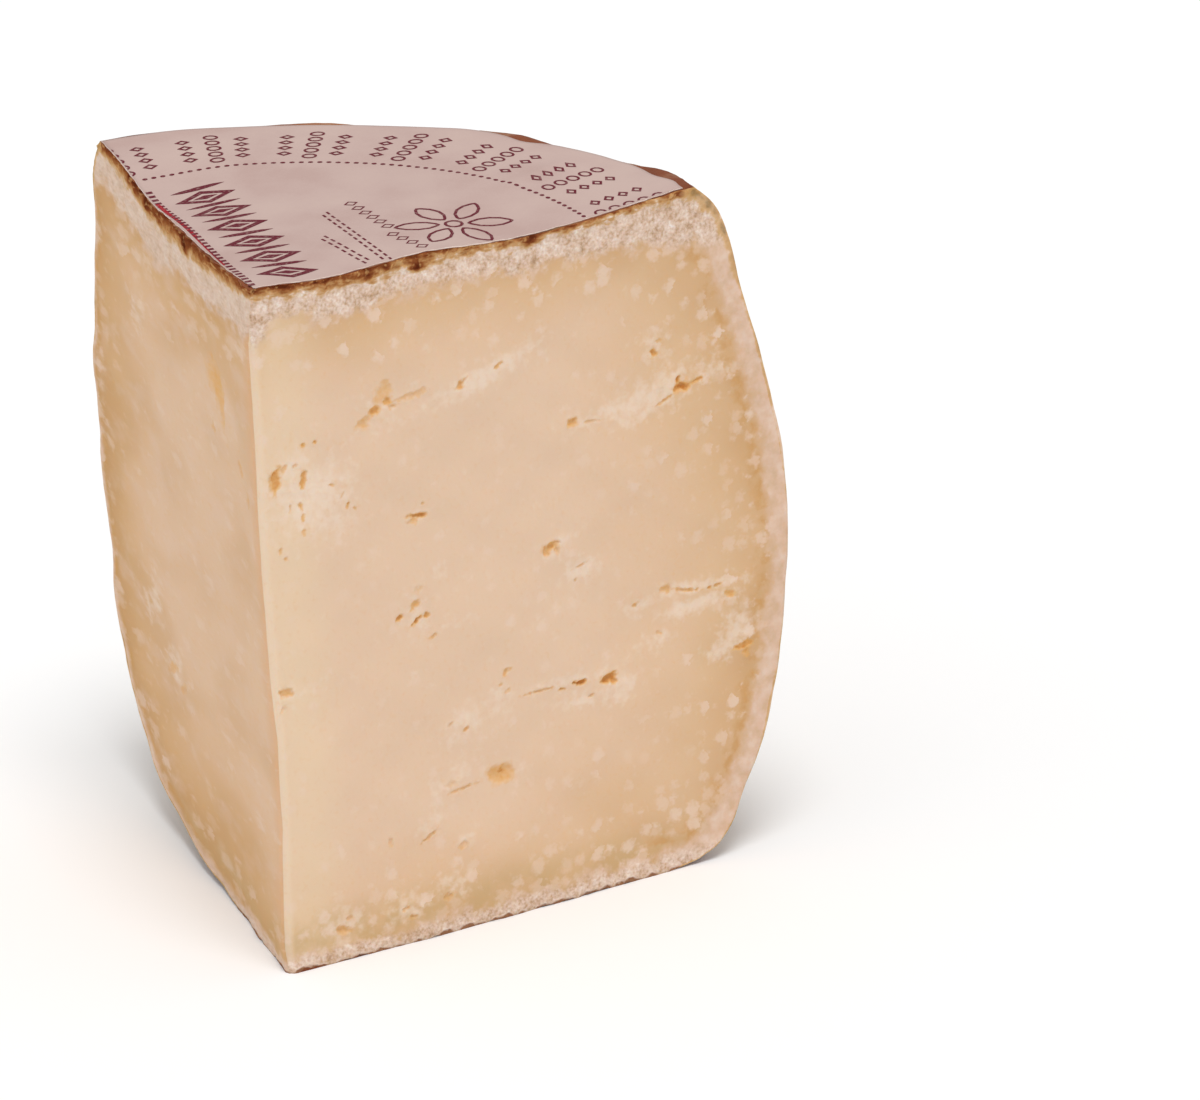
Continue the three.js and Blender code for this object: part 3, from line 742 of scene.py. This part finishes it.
BORDER_GROUPS = 7
BORDER_MIDDLE = 0.1
BORDER_SPACING = 14.3
BORDER_TURN = 4.0
BORDER_START = 66.9
BORDER_PITCH = 2.9
LOZENGE_SIZE = (2.2, 2.9)
OVAL_SIZE = (2.4, 2.9)
BORDER_STROKE = 0.45
# Rows of each border group: corners of its figures, how far out they begin, and how many there are.
BORDER_ROWS = ((4, 0.5, 4), (12, 0.0, 5), (4, 0.5, 4))

TEETH_SPAN = (2.0, 64.0)
TEETH_PITCH = 1.84
TOOTH_SIZE = (0.9, 1.2)
TEETH_INSET = 0.95
# The line that joins some of the teeth: its size, where its middle is, and how far outside theirs
TEETH_LINE = (16.0, 0.16)
TEETH_LINE_MIDDLE = 25.0
TEETH_LINE_OUT = 0.4
# Red strips beside the left cut: where each starts and ends, its width, and how far inside the cut
RED_STRIPS = ((57.0, 33.0, 0.75, 0.65), (33.0, 16.0, 0.28, 0.42))

BAND_START = 7.2
BAND_PITCH = 9.6
BAND_UNITS = 6
BAND_INSET = 9.2
BAND_SIZE = (6.8, 11.4)
BAND_STROKE = 1.15
BAND_CORE = (2.0, 4.6)
BAND_BAR = (1.5, 10.2)

ROSETTE_CENTRE = (21.5, 43.0)
ROSETTE_PETALS = 6
ROSETTE_SIZE = (8.4, 4.4)
ROSETTE_REACH = 6.6
ROSETTE_STROKE = 0.55
ROSETTE_EYE = 3.6

# Small rows: start, end, and whether they are outlined lozenges or two lines of stitches.
SMALL_ROWS = (
    ((-1.4, 49.6), (13.9, 35.5), "lozenges"), ((12.1, 35.2), (22.9, 27.9), "lozenges"),
    ((-3.6, 43.2), (18.2, 20.6), "stitches"), ((0.9, 30.7), (14.9, 19.4), "stitches"),
)
SMALL_PITCH = {"lozenges": 3.0, "stitches": 2.4}
SMALL_LOZENGE = (2.4, 2.8)
SMALL_STROKE = 0.28
STITCH_SIZE = (1.35, 0.42)
STITCH_LINES = 1.2
PRINT_MARGIN = 0.26
PRINT_EDGE = 1.5


def figure(bm, corners, size, stroke, place, turn, pinch=0.0):
    """A flat figure of so many corners, stretched to its size. A stroke keeps only its outline."""
    made = bmesh.ops.create_circle(bm, cap_ends=True, segments=corners, radius=0.5)
    verts = made["verts"]
    face = verts[0].link_faces[0]
    for vert in verts:
        vert.co.y *= abs(2 * vert.co.y) ** pinch
    bmesh.ops.scale(bm, vec=(*size, 1), verts=verts)
    if stroke:
        outline = bmesh.ops.inset_region(
            bm, faces=[face], thickness=stroke, use_boundary=True, use_even_offset=True,
        )["faces"]
        bmesh.ops.delete(bm, geom=[face], context="FACES_ONLY")
        verts = list({vert for part in outline for vert in part.verts})
    placing = Matrix.Translation((*place, 0)) @ Matrix.Rotation(turn, 4, "Z")
    bmesh.ops.transform(bm, matrix=placing, verts=verts)


def bar(bm, size, place, turn):
    made = bmesh.ops.create_grid(bm, x_segments=1, y_segments=1, size=0.5)
    bmesh.ops.scale(bm, vec=(*size, 1), verts=made["verts"])
    placing = Matrix.Translation((*place, 0)) @ Matrix.Rotation(turn, 4, "Z")
    bmesh.ops.transform(bm, matrix=placing, verts=made["verts"])


def along_left(distance, inset):
    """A point of the label so far from the front edge and so far inside the left cut."""
    place = distance * LEFT_ALONG - inset * LEFT_OUT
    return place[0], place[1]


LEFT_TURN = math.atan2(LEFT_ALONG[1], LEFT_ALONG[0])


def ring_and_border(bm):
    for index in range(RING_DOTS):
        angle = math.radians(RING_START - index * RING_STEP)
        x = RING_CENTRE[0] + RING_RADIUS * math.cos(angle)
        y = RING_CENTRE[1] + RING_RADIUS * math.sin(angle)
        figure(bm, 8, DOT_SIZE, 0.0, (x, y), angle + math.pi / 2)
    for group in range(BORDER_GROUPS):
        middle = BORDER_MIDDLE + (group - BORDER_GROUPS // 2) * BORDER_SPACING
        for row, (corners, begin, count) in enumerate(BORDER_ROWS):
            bearing = math.radians(middle + (row - 1) * BORDER_TURN)
            for index in range(count):
                radius = BORDER_START + (begin + index) * BORDER_PITCH
                x = RING_CENTRE[0] + radius * math.sin(bearing)
                y = RING_CENTRE[1] + radius * math.cos(bearing)
                size = LOZENGE_SIZE if corners == 4 else OVAL_SIZE
                figure(bm, corners, size, BORDER_STROKE, (x, y), math.pi / 2 - bearing)


def bold_band(bm):
    for index in range(BAND_UNITS):
        distance = BAND_START + index * BAND_PITCH
        place = along_left(distance, BAND_INSET)
        figure(bm, 4, BAND_SIZE, BAND_STROKE, place, LEFT_TURN)
        figure(bm, 4, BAND_CORE, 0.0, place, LEFT_TURN)
        between = along_left(distance + BAND_PITCH / 2, BAND_INSET)
        figure(bm, 8, BAND_BAR, 0.0, between, LEFT_TURN, 0.4)


def rosette(bm):
    figure(bm, 12, (ROSETTE_EYE, ROSETTE_EYE), ROSETTE_STROKE, ROSETTE_CENTRE, 0.0)
    for index in range(ROSETTE_PETALS):
        angle = 2 * math.pi * (index + 0.5) / ROSETTE_PETALS
        x = ROSETTE_CENTRE[0] + ROSETTE_REACH * math.cos(angle)
        y = ROSETTE_CENTRE[1] + ROSETTE_REACH * math.sin(angle)
        figure(bm, 12, ROSETTE_SIZE, ROSETTE_STROKE, (x, y), angle, 0.5)


def small_rows(bm):
    for start, end, kind in SMALL_ROWS:
        first = Vector(start)
        run = Vector(end) - first
        turn = math.atan2(run.y, run.x)
        pitch = SMALL_PITCH[kind]
        across = Vector((-run.y, run.x)).normalized() * STITCH_LINES / 2
        for index in range(int(run.length / pitch)):
            place = first + run.normalized() * (index + 0.5) * pitch
            if kind == "lozenges":
                figure(bm, 4, SMALL_LOZENGE, SMALL_STROKE, place, turn)
            else:
                bar(bm, STITCH_SIZE, place + across, turn)
                bar(bm, STITCH_SIZE, place + run.normalized() * pitch / 2 - across, turn)


def toothed_line(bm):
    count = int((TEETH_SPAN[1] - TEETH_SPAN[0]) / TEETH_PITCH)
    for index in range(count + 1):
        distance = TEETH_SPAN[0] + index * TEETH_PITCH
        bar(bm, TOOTH_SIZE, along_left(distance, TEETH_INSET), LEFT_TURN)
    bar(bm, TEETH_LINE, along_left(TEETH_LINE_MIDDLE, TEETH_INSET - TEETH_LINE_OUT), LEFT_TURN)


def red_strips(bm):
    for start, end, width, inset in RED_STRIPS:
        bar(bm, (start - end, width), along_left((start + end) / 2, inset), LEFT_TURN)


def print_mesh(name, *draw_parts):
    """A layer of ink: flat figures, trimmed to the paper and laid on it."""
    bm = bmesh.new()
    for draw_part in draw_parts:
        draw_part(bm)
    for outward in (RIGHT_OUT, LEFT_OUT):
        bmesh.ops.bisect_plane(
            bm, geom=bm.verts[:] + bm.edges[:] + bm.faces[:], plane_co=-PRINT_MARGIN * outward,
            plane_no=outward, clear_outer=True,
        )
    long = [edge for edge in bm.edges if edge.calc_length() > PRINT_EDGE]
    bmesh.ops.subdivide_edges(bm, edges=long, cuts=3, use_grid_fill=True)
    lay_on_paper(bm, INK_GAP + INK_THICKNESS, INK_THICKNESS)
    return finished(bm, name)


def finished(bm, name):
    """Turns a bmesh in the wheel's millimetres into a mesh in the part's frame."""
    bmesh.ops.scale(bm, vec=(MM, MM, MM), verts=bm.verts)
    bmesh.ops.translate(bm, vec=FRONT_EDGE, verts=bm.verts)
    return as_mesh(bm, name)


def add_object(name, data, *materials):
    made = bpy.data.objects.new(name, data)
    bpy.context.scene.collection.objects.link(made)
    for material in materials:
        data.materials.append(material)
    return made


# Materials

# What a node's mode sets on it
MODES = {
    "Attribute": "attribute_name", "MapRange": "interpolation_type", "Math": "operation",
    "Mix": "data_type", "TexVoronoi": "voronoi_dimensions", "VectorMath": "operation",
}


def set_stops(elements, stops):
    """Gives a colour ramp its stops: each a place from 0 to 1 and a hex colour."""
    while len(elements) < len(stops):
        elements.new(1.0)
    for element, (place, colour) in zip(elements, stops):
        element.position = place
        element.color = linear(colour)


def node_adder(tree):
    def add(kind, inputs=(), mode=None, **settings):
        """Adds a shader node. Its inputs, in order or by name, are values, hex colours, sockets or other
        nodes. Its mode is what the table above names for its kind, or the stops of a ramp."""
        made = tree.nodes.new("ShaderNode" + kind)
        if kind == "ValToRGB":
            set_stops(made.color_ramp.elements, mode)
        elif mode:
            settings[MODES[kind]] = mode
        for name, value in settings.items():
            setattr(made, name, value)
        for name, value in inputs.items() if isinstance(inputs, dict) else enumerate(inputs):
            if isinstance(value, str):
                value = linear(value)
            if isinstance(value, bpy.types.Node):
                value = next(output for output in value.outputs if not output.is_unavailable)
            if isinstance(value, bpy.types.NodeSocket):
                tree.links.new(value, made.inputs[name])
            else:
                made.inputs[name].default_value = value
        return made
    return add


def new_material(name):
    """An empty material, the function that adds its nodes, and the place on the object in mm."""
    material = bpy.data.materials.new(name)
    material.use_nodes = True
    material.node_tree.nodes.clear()
    add = node_adder(material.node_tree)
    place = add("TexCoord").outputs["Object"]
    return material, add, add("VectorMath", {0: place, "Scale": 1 / MM}, "SCALE")


def with_shader(material, add, inputs):
    """Ends a material in its shader."""
    add("OutputMaterial", {"Surface": add("BsdfPrincipled", inputs)})
    return material


# Noise patterns of the cut faces and of the rind: size in mm and detail
PASTE_GRAIN = {
    "wander": (7.0, 2.0), "ragged": (1.6, 2.0), "meal": (0.6, 3.0), "mottle": (2.4, 3.0),
    "fleck": (0.9, 1.0), "cloud": (15.0, 1.0), "bloom": (5.0, 3.0),
}
RIND_GRAIN = {"cloud": (32.0, 2.0), "mottle": (6.0, 4.0), "pit": (1.6, 2.0)}
PASTE_COLOURS = (
    (0.0, "#D0A87D"), (0.1, "#D5AF87"), (0.3, "#DBB893"), (0.6, "#E0BFA0"), (1.0, "#E2C4A9"),
)
MEAL_COLOURS = (
    (0.3, "#AF8E70"), (0.41, "#CCAD94"), (0.51, "#DCC2AF"), (0.61, "#E7D2C3"), (0.72, "#F2E6DB"),
)
SIDE_COLOURS = ((0.3, "#D3B294"), (0.5, "#DCBCA4"), (0.7, "#E2C8B5"))
CRUST_COLOURS = (
    (0.0, "#5A2815"), (0.14, "#723A20"), (0.32, "#8B512D"), (0.46, "#A67145"), (0.6, "#BC8F5F"),
    (0.78, "#CFA97F"), (1.0, "#DDC2A2"),
)
SKIN_COLOURS = ((0.0, "#A2855A"), (0.3, "#C29A66"), (0.65, "#D2A974"), (1.0, "#D8B68A"))
RIND_COLOURS = ((0.0, "#855F3B"), (0.35, "#9C774B"), (0.7, "#AF8B5C"), (1.0, "#BC9B6E"))
CROWN_COLOURS = ((0.0, "#612F1C"), (0.5, "#83482D"), (1.0, "#9F653F"))
# The paper's mauve is partly its own pink and partly painted shade of its top.
SHADED_PAPER_COLOURS = ((0.0, "#B79B93"), (0.5, "#BDA39B"), (1.0, "#C1A89F"))
PAPER_CORE_COLOURS = ((0.3, "#D9BEB2"), (0.7, "#EAD8CE"))
# Painted shade: the left cut is tinted warmer and darker than the right. Nearer the rind it is darkened
# more, partly as painted shade and partly for the paste's own ochre there.
LEFT_PAINTED_SHADE = (0.98, 0.93, 0.87, 1.0)
LEFT_RIND_OCHRE_AND_SHADE = (0.91, 0.825, 0.69, 1.0)
# What lies over the paste, from below: its colour, what it reads, where it begins and where it is
# full, its strength, and what keeps it in its place.
PASTE_LAYERS = (
    ("#E9D1B0", "front", 16.0, 5.0, 0.45, "right"),    # yellower paste beside the front edge
    ("#C9A075", "cloud", 0.6, 0.36, 0.35, "left"),     # broad ochre fields
    ("#E0C3AE", "bloom", 0.45, 0.75, 0.35, "left"),    # soft pale clouds
    ("#DDB088", "front", -7.0, -2.0, 0.5, "left"),     # a warm sliver along the front edge
    ("#C4A577", "base", 13.0, 5.0, 0.55, "patchy"),    # olive, damper paste over the base
    ("#E9D5BD", "front", 2.4, 0.9, 0.5, "right"),      # a pale strip along the front edge
)
# Pale bloom in the rind's hollows, and its pits: as above, without the last
RIND_LAYERS = (("#CBB899", "mottle", 0.5, 0.7, 0.28), ("#6B4A2D", "pit", 0.36, 0.28, 0.6))


def cut_fields(add, place):
    """What the colours of the cut faces read: the stored fields, which cut it is, the noise patterns,
    drawn out along the left cut, and how far inside the band each point lies."""
    field = {}
    for name in (*CUT_FIELDS, "base", "front"):
        field[name] = add("Attribute", (), name).outputs["Fac"]
    field["left"] = add("Math", [field["front"], 0.0], "LESS_THAN")
    field["right"] = add("Math", [1.0, field["left"]], "SUBTRACT")
    stretch = {"Factor": field["left"], 4: (1.0, 1.0, 1.0), 5: (0.4, 0.4, 1.0)}
    stretch = add("Mix", stretch, "VECTOR")
    laid = add("VectorMath", [place, stretch], "MULTIPLY")
    for name, (size, detail) in PASTE_GRAIN.items():
        field[name] = add("TexNoise", {"Vector": laid, "Scale": 1 / size, "Detail": detail})
    field["patchy"] = add("MapRange", [field["bloom"], 0.38, 0.56, 0.35])

    # the band's inner border is ragged under the top and over the base, and calmer at the side
    for name, source, slow, fine in (("top_edge", "rim", 8.0, 5.0), ("side_edge", "flank", 3.2, 2.4)):
        edge = field[source]
        for pattern, reach in (("wander", slow), ("ragged", fine)):
            edge = add("Math", [field[pattern], reach, edge], "MULTIPLY_ADD")
        field[name] = add("Math", [edge, (slow + fine) / 2], "SUBTRACT")
    field["edge"] = add("Math", [field["top_edge"], field["side_edge"]], "MINIMUM")
    return field


def mealy_spots(add, place, field):
    """Mask of soft round clots of uneven size, laid out over the cut: along it and up. They crowd
    near the band, and lie flatter on the left cut."""
    closeness = add("MapRange", [field["edge"], 14.0, 0.5])
    along = add("MapRange", [field["left"], 0.0, 1.0, 1.0, 0.4])
    along = add("Math", [field["front"], along], "MULTIPLY")
    height = add("SeparateXYZ", [place]).outputs["Z"]
    laid = add("CombineXYZ", [along, height])
    shake = add("TexNoise", {"Vector": laid, "Scale": 1 / 1.3, "Detail": 2.0}).outputs["Color"]
    shaken = add("VectorMath", [shake, (2.6, 2.6, 0.0), laid], "MULTIPLY_ADD")
    clot = add("TexVoronoi", {"Vector": shaken, "Scale": 1 / 3.3}, "2D")
    draw = add("SeparateColor", [clot.outputs["Color"]])
    chance = add("Math", [closeness, 0.45, draw], "MULTIPLY_ADD")
    radius = add("MapRange", [chance, 0.52, 1.05, -0.1, 0.36])
    radius = add("Math", [draw.outputs["Green"], 0.14, radius], "MULTIPLY_ADD")
    inside = add("Math", [radius, clot.outputs["Distance"]], "SUBTRACT")
    ragged = add("TexNoise", {"Vector": laid, "Scale": 1 / 0.9, "Detail": 2.0})
    inside = add("Math", [ragged, 0.36, inside], "MULTIPLY_ADD")
    spot = add("MapRange", [inside, 0.02, 0.44], "SMOOTHSTEP")
    faint = add("MapRange", [draw.outputs["Blue"], 0.0, 1.0, 0.35])
    strength = add("MapRange", [closeness, 0.0, 1.0, 0.55, 0.85])
    calm = add("MapRange", [field["left"], 0.0, 1.0, 1.0, 0.7])
    for share in (faint, strength, calm):
        spot = add("Math", [spot, share], "MULTIPLY")
    return spot


def paste_colour(add, field, spots):
    """The paste inside the band: tan near the rind and pinker in the middle, with painted shade on the
    left cut, and with what lies over it.
    """
    inner = add("Math", [field["cloud"], 16.0, field["inner"]], "MULTIPLY_ADD")
    inward = add("MapRange", [inner, 8.0, 48.0])
    colour = add("ValToRGB", [inward], PASTE_COLOURS)
    # painted shade: the left cut is multiplied by a warmer, darker colour, stronger near the rind, where
    # it also gives the paste's ochre
    left_shade_tint = add("Mix", {0: inward, 6: LEFT_RIND_OCHRE_AND_SHADE, 7: LEFT_PAINTED_SHADE}, "RGBA")
    colour = add("Mix", {0: field["left"], 6: colour, 7: left_shade_tint}, "RGBA", blend_type="MULTIPLY")
    for over, source, start, full, strength, keeper in PASTE_LAYERS:
        mask = add("MapRange", [field[source], start, full, 0.0, strength], "SMOOTHSTEP")
        mask = add("Math", [mask, field[keeper]], "MULTIPLY")
        colour = add("Mix", {0: mask, 6: colour, 7: over}, "RGBA")

    # ochre dashes just inside the side band, and pale torn ground round the eyes
    beneath = add("MapRange", [field["side_edge"], 4.5, 1.6])
    dashes = add("MapRange", [field["mottle"], 0.46, 0.6, 0.0, 0.75])
    dashes = add("Math", [dashes, beneath], "MULTIPLY")
    torn = add("Math", [field["ragged"], 1.3, -0.65], "MULTIPLY_ADD")
    torn = add("Math", [field["torn"], torn], "ADD")
    torn = add("MapRange", [torn, 0.12, 0.8, 0.0, 0.7], "SMOOTHSTEP")
    for mask, over in ((dashes, "#CB9B64"), (spots, "#E8CFBC"), (torn, "#EAD5C2")):
        colour = add("Mix", {0: mask, 6: colour, 7: over}, "RGBA")
    return colour


def crust_layer(add, place, field):
    """Crust, browned outside and golden where it meets the band: layered on the right cut, and
    fibrous on the left, with golden grains that are partly painted highlights. Returns its mask and
    colour."""
    stretch = {"Factor": field["left"], 4: (0.45, 0.45, 1.2), 5: (0.5, 0.5, 0.7)}
    stretch = add("Mix", stretch, "VECTOR")
    stretched = add("VectorMath", [place, stretch], "MULTIPLY")
    fibre = add("TexNoise", {"Vector": stretched, "Scale": 1 / 1.1, "Detail": 3.0})
    uneven = add("Math", [field["mottle"], 0.9, fibre], "MULTIPLY_ADD")
    uneven = add("Math", [uneven, 0.95], "SUBTRACT")
    rough = add("MapRange", [field["left"], 0.0, 1.0, 1.7, 1.0])
    tone = add("Math", [uneven, rough, field["crust"]], "MULTIPLY_ADD")
    tone = add("MapRange", [tone, -0.25, 1.25])
    crust = add("ValToRGB", [tone], CRUST_COLOURS)
    # golden grains on the crust, partly painted highlights
    grains_and_highlights = add("MapRange", [field["fleck"], 0.58, 0.75, 0.0, 0.45])
    crust = add("Mix", {0: grains_and_highlights, 6: crust, 7: "#D6A970"}, "RGBA")
    return add("MapRange", [tone, 0.95, 0.7]), crust


def skin_layer(add, field):
    """Thin dry skin of the wheel's side, seen in section: its mask and colour."""
    skin = add("Math", [field["mottle"], 2.4, field["skin"]], "MULTIPLY_ADD")
    skin = add("MapRange", [skin, 1.0, 2.4])
    mask = add("MapRange", [skin, 0.95, 0.55, 0.0, 0.8])
    return mask, add("ValToRGB", [skin], SKIN_COLOURS)


def mealy_band(add, field):
    """The dry band, coarse and cream coloured under the top and over the base, finer at the side and
    calmer on the left cut: its mask and colour."""
    tone = add("Math", [field["mottle"], 0.55], "MULTIPLY")
    tone = add("Math", [field["meal"], 0.45, tone], "MULTIPLY_ADD")
    meal = add("ValToRGB", [tone], MEAL_COLOURS)
    side = add("ValToRGB", [field["mottle"]], SIDE_COLOURS)
    soft = add("Math", [field["left"], 0.55], "MULTIPLY")
    meal = add("Mix", {0: soft, 6: meal, 7: "#D9BEA9"}, "RGBA")
    dry = add("Mix", {0: field["coarse"], 6: side, 7: meal}, "RGBA")
    return add("MapRange", [field["edge"], 1.8, -1.2], "SMOOTHSTEP"), dry


def cut_paste_material():
    """Hard paste cut with a knife: matt, so that it shows no highlight, with light that sinks in a
    little. It is drier, mealier and paler in the last millimetres before the rind, and along the top
    its crust is browned like a bread's."""
    material, add, place = new_material("hard_sheep_milk_paste")
    field = cut_fields(add, place)
    spots = mealy_spots(add, place, field)
    colour = paste_colour(add, field, spots)

    # the brown foot of the cuts, and the insides of the eyes: an orange stain with painted shade, darkest
    # in the darkest eyes
    foot = add("Math", [field["mottle"], -3.2, field["base"]], "MULTIPLY_ADD")
    foot = add("MapRange", [foot, -1.05, -1.45])
    eye = add("Math", [field["fleck"], 0.5, field["eye"]], "MULTIPLY_ADD")
    eye_stain_and_shade = add("MapRange", [eye, 0.28, 1.0, 0.0, 0.9])
    deepest_stain_and_shade = add("MapRange", [eye, 0.95, 1.35, 0.0, 0.85])
    layers = (
        mealy_band(add, field), crust_layer(add, place, field), skin_layer(add, field),
        (foot, "#94694F"), (eye_stain_and_shade, "#DFAB6A"), (deepest_stain_and_shade, "#C4772F"),
    )
    for mask, over in layers:
        colour = add("Mix", {0: mask, 6: colour, 7: over}, "RGBA")

    relief = add("Math", [field["meal"], field["coarse"]], "MULTIPLY")
    for pattern, height in ((field["fleck"], 0.25), (spots, 0.3)):
        relief = add("Math", [pattern, height, relief], "MULTIPLY_ADD")
    bump = add("Bump", {"Strength": 0.4, "Distance": 0.3 * MM, "Height": relief})
    return with_shader(material, add, {
        "Base Color": colour, "Normal": bump, "Roughness": 0.7, "Specular IOR Level": 0.0,
        "Subsurface Weight": 0.25, "Subsurface Radius": (1.0, 0.55, 0.3), "Subsurface Scale": 1.8 * MM,
    })


def rind_material():
    """Natural rind, dry and rubbed with oil: matt ochre brown in broad soft clouds, finely pitted, with
    a thin pale bloom in its hollows. It is browner round the rims."""
    material, add, place = new_material("oiled_natural_rind")
    grain = {}
    for name, (size, detail) in RIND_GRAIN.items():
        grain[name] = add("TexNoise", {"Vector": place, "Scale": 1 / size, "Detail": detail})
    flat = add("VectorMath", [place, (0.35, 0.35, 1.0)], "MULTIPLY")
    wrinkle = add("TexNoise", {"Vector": flat, "Scale": 1 / 2.4, "Detail": 3.0})
    tone = grain["cloud"]
    for pattern, share in ((grain["mottle"], 0.35), (wrinkle, 0.2)):
        tone = add("Math", [pattern, share, tone], "MULTIPLY_ADD")
    tone = add("MapRange", [tone, 0.5, 1.02])
    side = add("ValToRGB", [tone], RIND_COLOURS)
    crown = add("ValToRGB", [tone], CROWN_COLOURS)
    height = add("SeparateXYZ", [place]).outputs["Z"]
    height = add("Math", [grain["mottle"], 8.0, height], "MULTIPLY_ADD")
    upper = add("MapRange", [height, 130.0, 133.0])
    lower = add("MapRange", [height, 9.0, 5.5])
    browned = add("Math", [upper, lower], "MAXIMUM")
    colour = add("Mix", {0: browned, 6: side, 7: crown}, "RGBA")
    for over, source, start, full, strength in RIND_LAYERS:
        mask = add("MapRange", [grain[source], start, full, 0.0, strength], "SMOOTHSTEP")
        colour = add("Mix", {0: mask, 6: colour, 7: over}, "RGBA")
    relief = add("Math", [grain["pit"], 0.8, wrinkle], "MULTIPLY_ADD")
    bump = add("Bump", {"Strength": 0.6, "Distance": 0.5 * MM, "Height": relief})
    finish = {"Base Color": colour, "Normal": bump, "Roughness": 0.66, "Specular IOR Level": 0.12}
    return with_shader(material, add, finish)


def paper_material():
    """Thin uncoated paper that has soaked up a little fat: matt, with a faint cloudy stain, darkened by
    painted shade.
    """
    material, add, place = new_material("uncoated_label_paper")
    cloud = add("TexNoise", {"Vector": place, "Scale": 1 / 16, "Detail": 3.0})
    fibre = add("TexNoise", {"Vector": place, "Scale": 1 / 0.5, "Detail": 2.0})
    tone = add("Math", [fibre, 0.15, cloud], "MULTIPLY_ADD")
    tone = add("MapRange", [tone, 0.42, 0.72])
    colour = add("ValToRGB", [tone], SHADED_PAPER_COLOURS)
    bump = add("Bump", {"Strength": 0.25, "Distance": 0.1 * MM, "Height": fibre})
    return with_shader(material, add, {"Base Color": colour, "Normal": bump, "Roughness": 0.85})


def paper_edge_material():
    """The same paper where the knife went through it: the pale fibres of its core."""
    material, add, place = new_material("cut_edge_of_label_paper")
    fibre = add("TexNoise", {"Vector": place, "Scale": 1 / 0.8, "Detail": 2.0})
    colour = add("ValToRGB", [fibre], PAPER_CORE_COLOURS)
    return with_shader(material, add, {"Base Color": colour, "Roughness": 0.9})


def ink_material(name, colour):
    """Offset ink on uncoated paper: thin and matt, and worn a little where the fibres stand up."""
    material, add, place = new_material(name)
    fibre = add("TexNoise", {"Vector": place, "Scale": 1 / 0.6, "Detail": 2.0})
    worn = add("MapRange", [fibre, 0.5, 0.75, 0.0, 0.35])
    # where the ink is worn the paper shows through, in its tone darkened by painted shade
    tone = add("Mix", {0: worn, 6: colour, 7: "#B69C94"}, "RGBA")
    return with_shader(material, add, {"Base Color": tone, "Roughness": 0.8, "Specular IOR Level": 0.1})


def board_material():
    """White board, painted matt: an even pale ground with no gloss."""
    material, add, place = new_material("matt_white_board")
    return with_shader(material, add, {"Base Color": "#F7F7F7", "Roughness": 0.9})


cheese = add_object("cheese", cheese_mesh(), cut_paste_material(), rind_material())
relieve(cheese.data)
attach(cheese, "root")
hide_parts("cheese_wedge")
label = add_object("label", label_mesh(), paper_material(), paper_edge_material())
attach(label, "root")
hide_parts("paper_label")
dark_print = add_object(
    "dark_print", print_mesh("dark_print", ring_and_border, bold_band, rosette, small_rows, toothed_line),
    ink_material("maroon_printing_ink", "#66242F"),
)
red_print = add_object(
    "red_print", print_mesh("red_print", red_strips), ink_material("red_printing_ink", "#9C1B27"),
)
for ink in (dark_print, red_print):
    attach(ink, "root")


# The set: camera, lights and floor. The sun is a wide soft light from above and a little to the
# right, even over the whole floor.

SUN_FROM = (0.2, -0.26, 1.0)
SUN_STRENGTH = 1.45
SUN_SPREAD = 25.0
FILL_PLACE = (-1.3, -0.9, 1.1)
FILL_SIZE = 1.4
FILL_POWER = 1.2
FILL_AIM = (0, 0, 0.06)
WORLD_STRENGTH = 0.67
FLOOR_SIZE = 4.0


def add_camera():
    data = bpy.data.cameras.new("camera")
    data.lens = CAMERA_LENS
    data.sensor_width = CAMERA_SENSOR
    data.clip_end = 20.0
    camera = add_object("camera", data)
    turn = Matrix.Rotation(math.radians(CAMERA_BEARING), 4, "Z")
    tilt = Matrix.Rotation(math.radians(90 - CAMERA_DROP), 4, "X")
    roll = Matrix.Rotation(math.radians(CAMERA_ROLL), 4, "Z")
    camera.matrix_world = turn @ tilt @ roll
    camera.location = Vector(CAMERA_PLACE) * MM + Vector(FRONT_EDGE)
    bpy.context.scene.camera = camera


def add_light(name, kind, strength, place, aim):
    data = bpy.data.lights.new(name, kind)
    data.energy = strength
    light = add_object(name, data)
    light.location = place
    light.rotation_euler = (Vector(aim) - Vector(place)).to_track_quat("-Z", "Y").to_euler()
    return data


def add_floor():
    bm = bmesh.new()
    bmesh.ops.create_grid(bm, x_segments=1, y_segments=1, size=FLOOR_SIZE)
    add_object("floor", as_mesh(bm, "floor"), board_material())


add_camera()
add_light("overhead", "SUN", SUN_STRENGTH, SUN_FROM, (0, 0, 0)).angle = math.radians(SUN_SPREAD)
fill = add_light("fill", "AREA", FILL_POWER, FILL_PLACE, FILL_AIM)
fill.shape = "DISK"
fill.size = FILL_SIZE
fill.color = linear("#FFF8F2")[:3]
add_floor()
world = bpy.data.worlds.new("pale_room")
world.use_nodes = True
background = world.node_tree.nodes["Background"]
background.inputs["Color"].default_value = linear("#FFFFFF")
background.inputs["Strength"].default_value = WORLD_STRENGTH
bpy.context.scene.world = world
bpy.context.scene.view_settings.view_transform = "Standard"
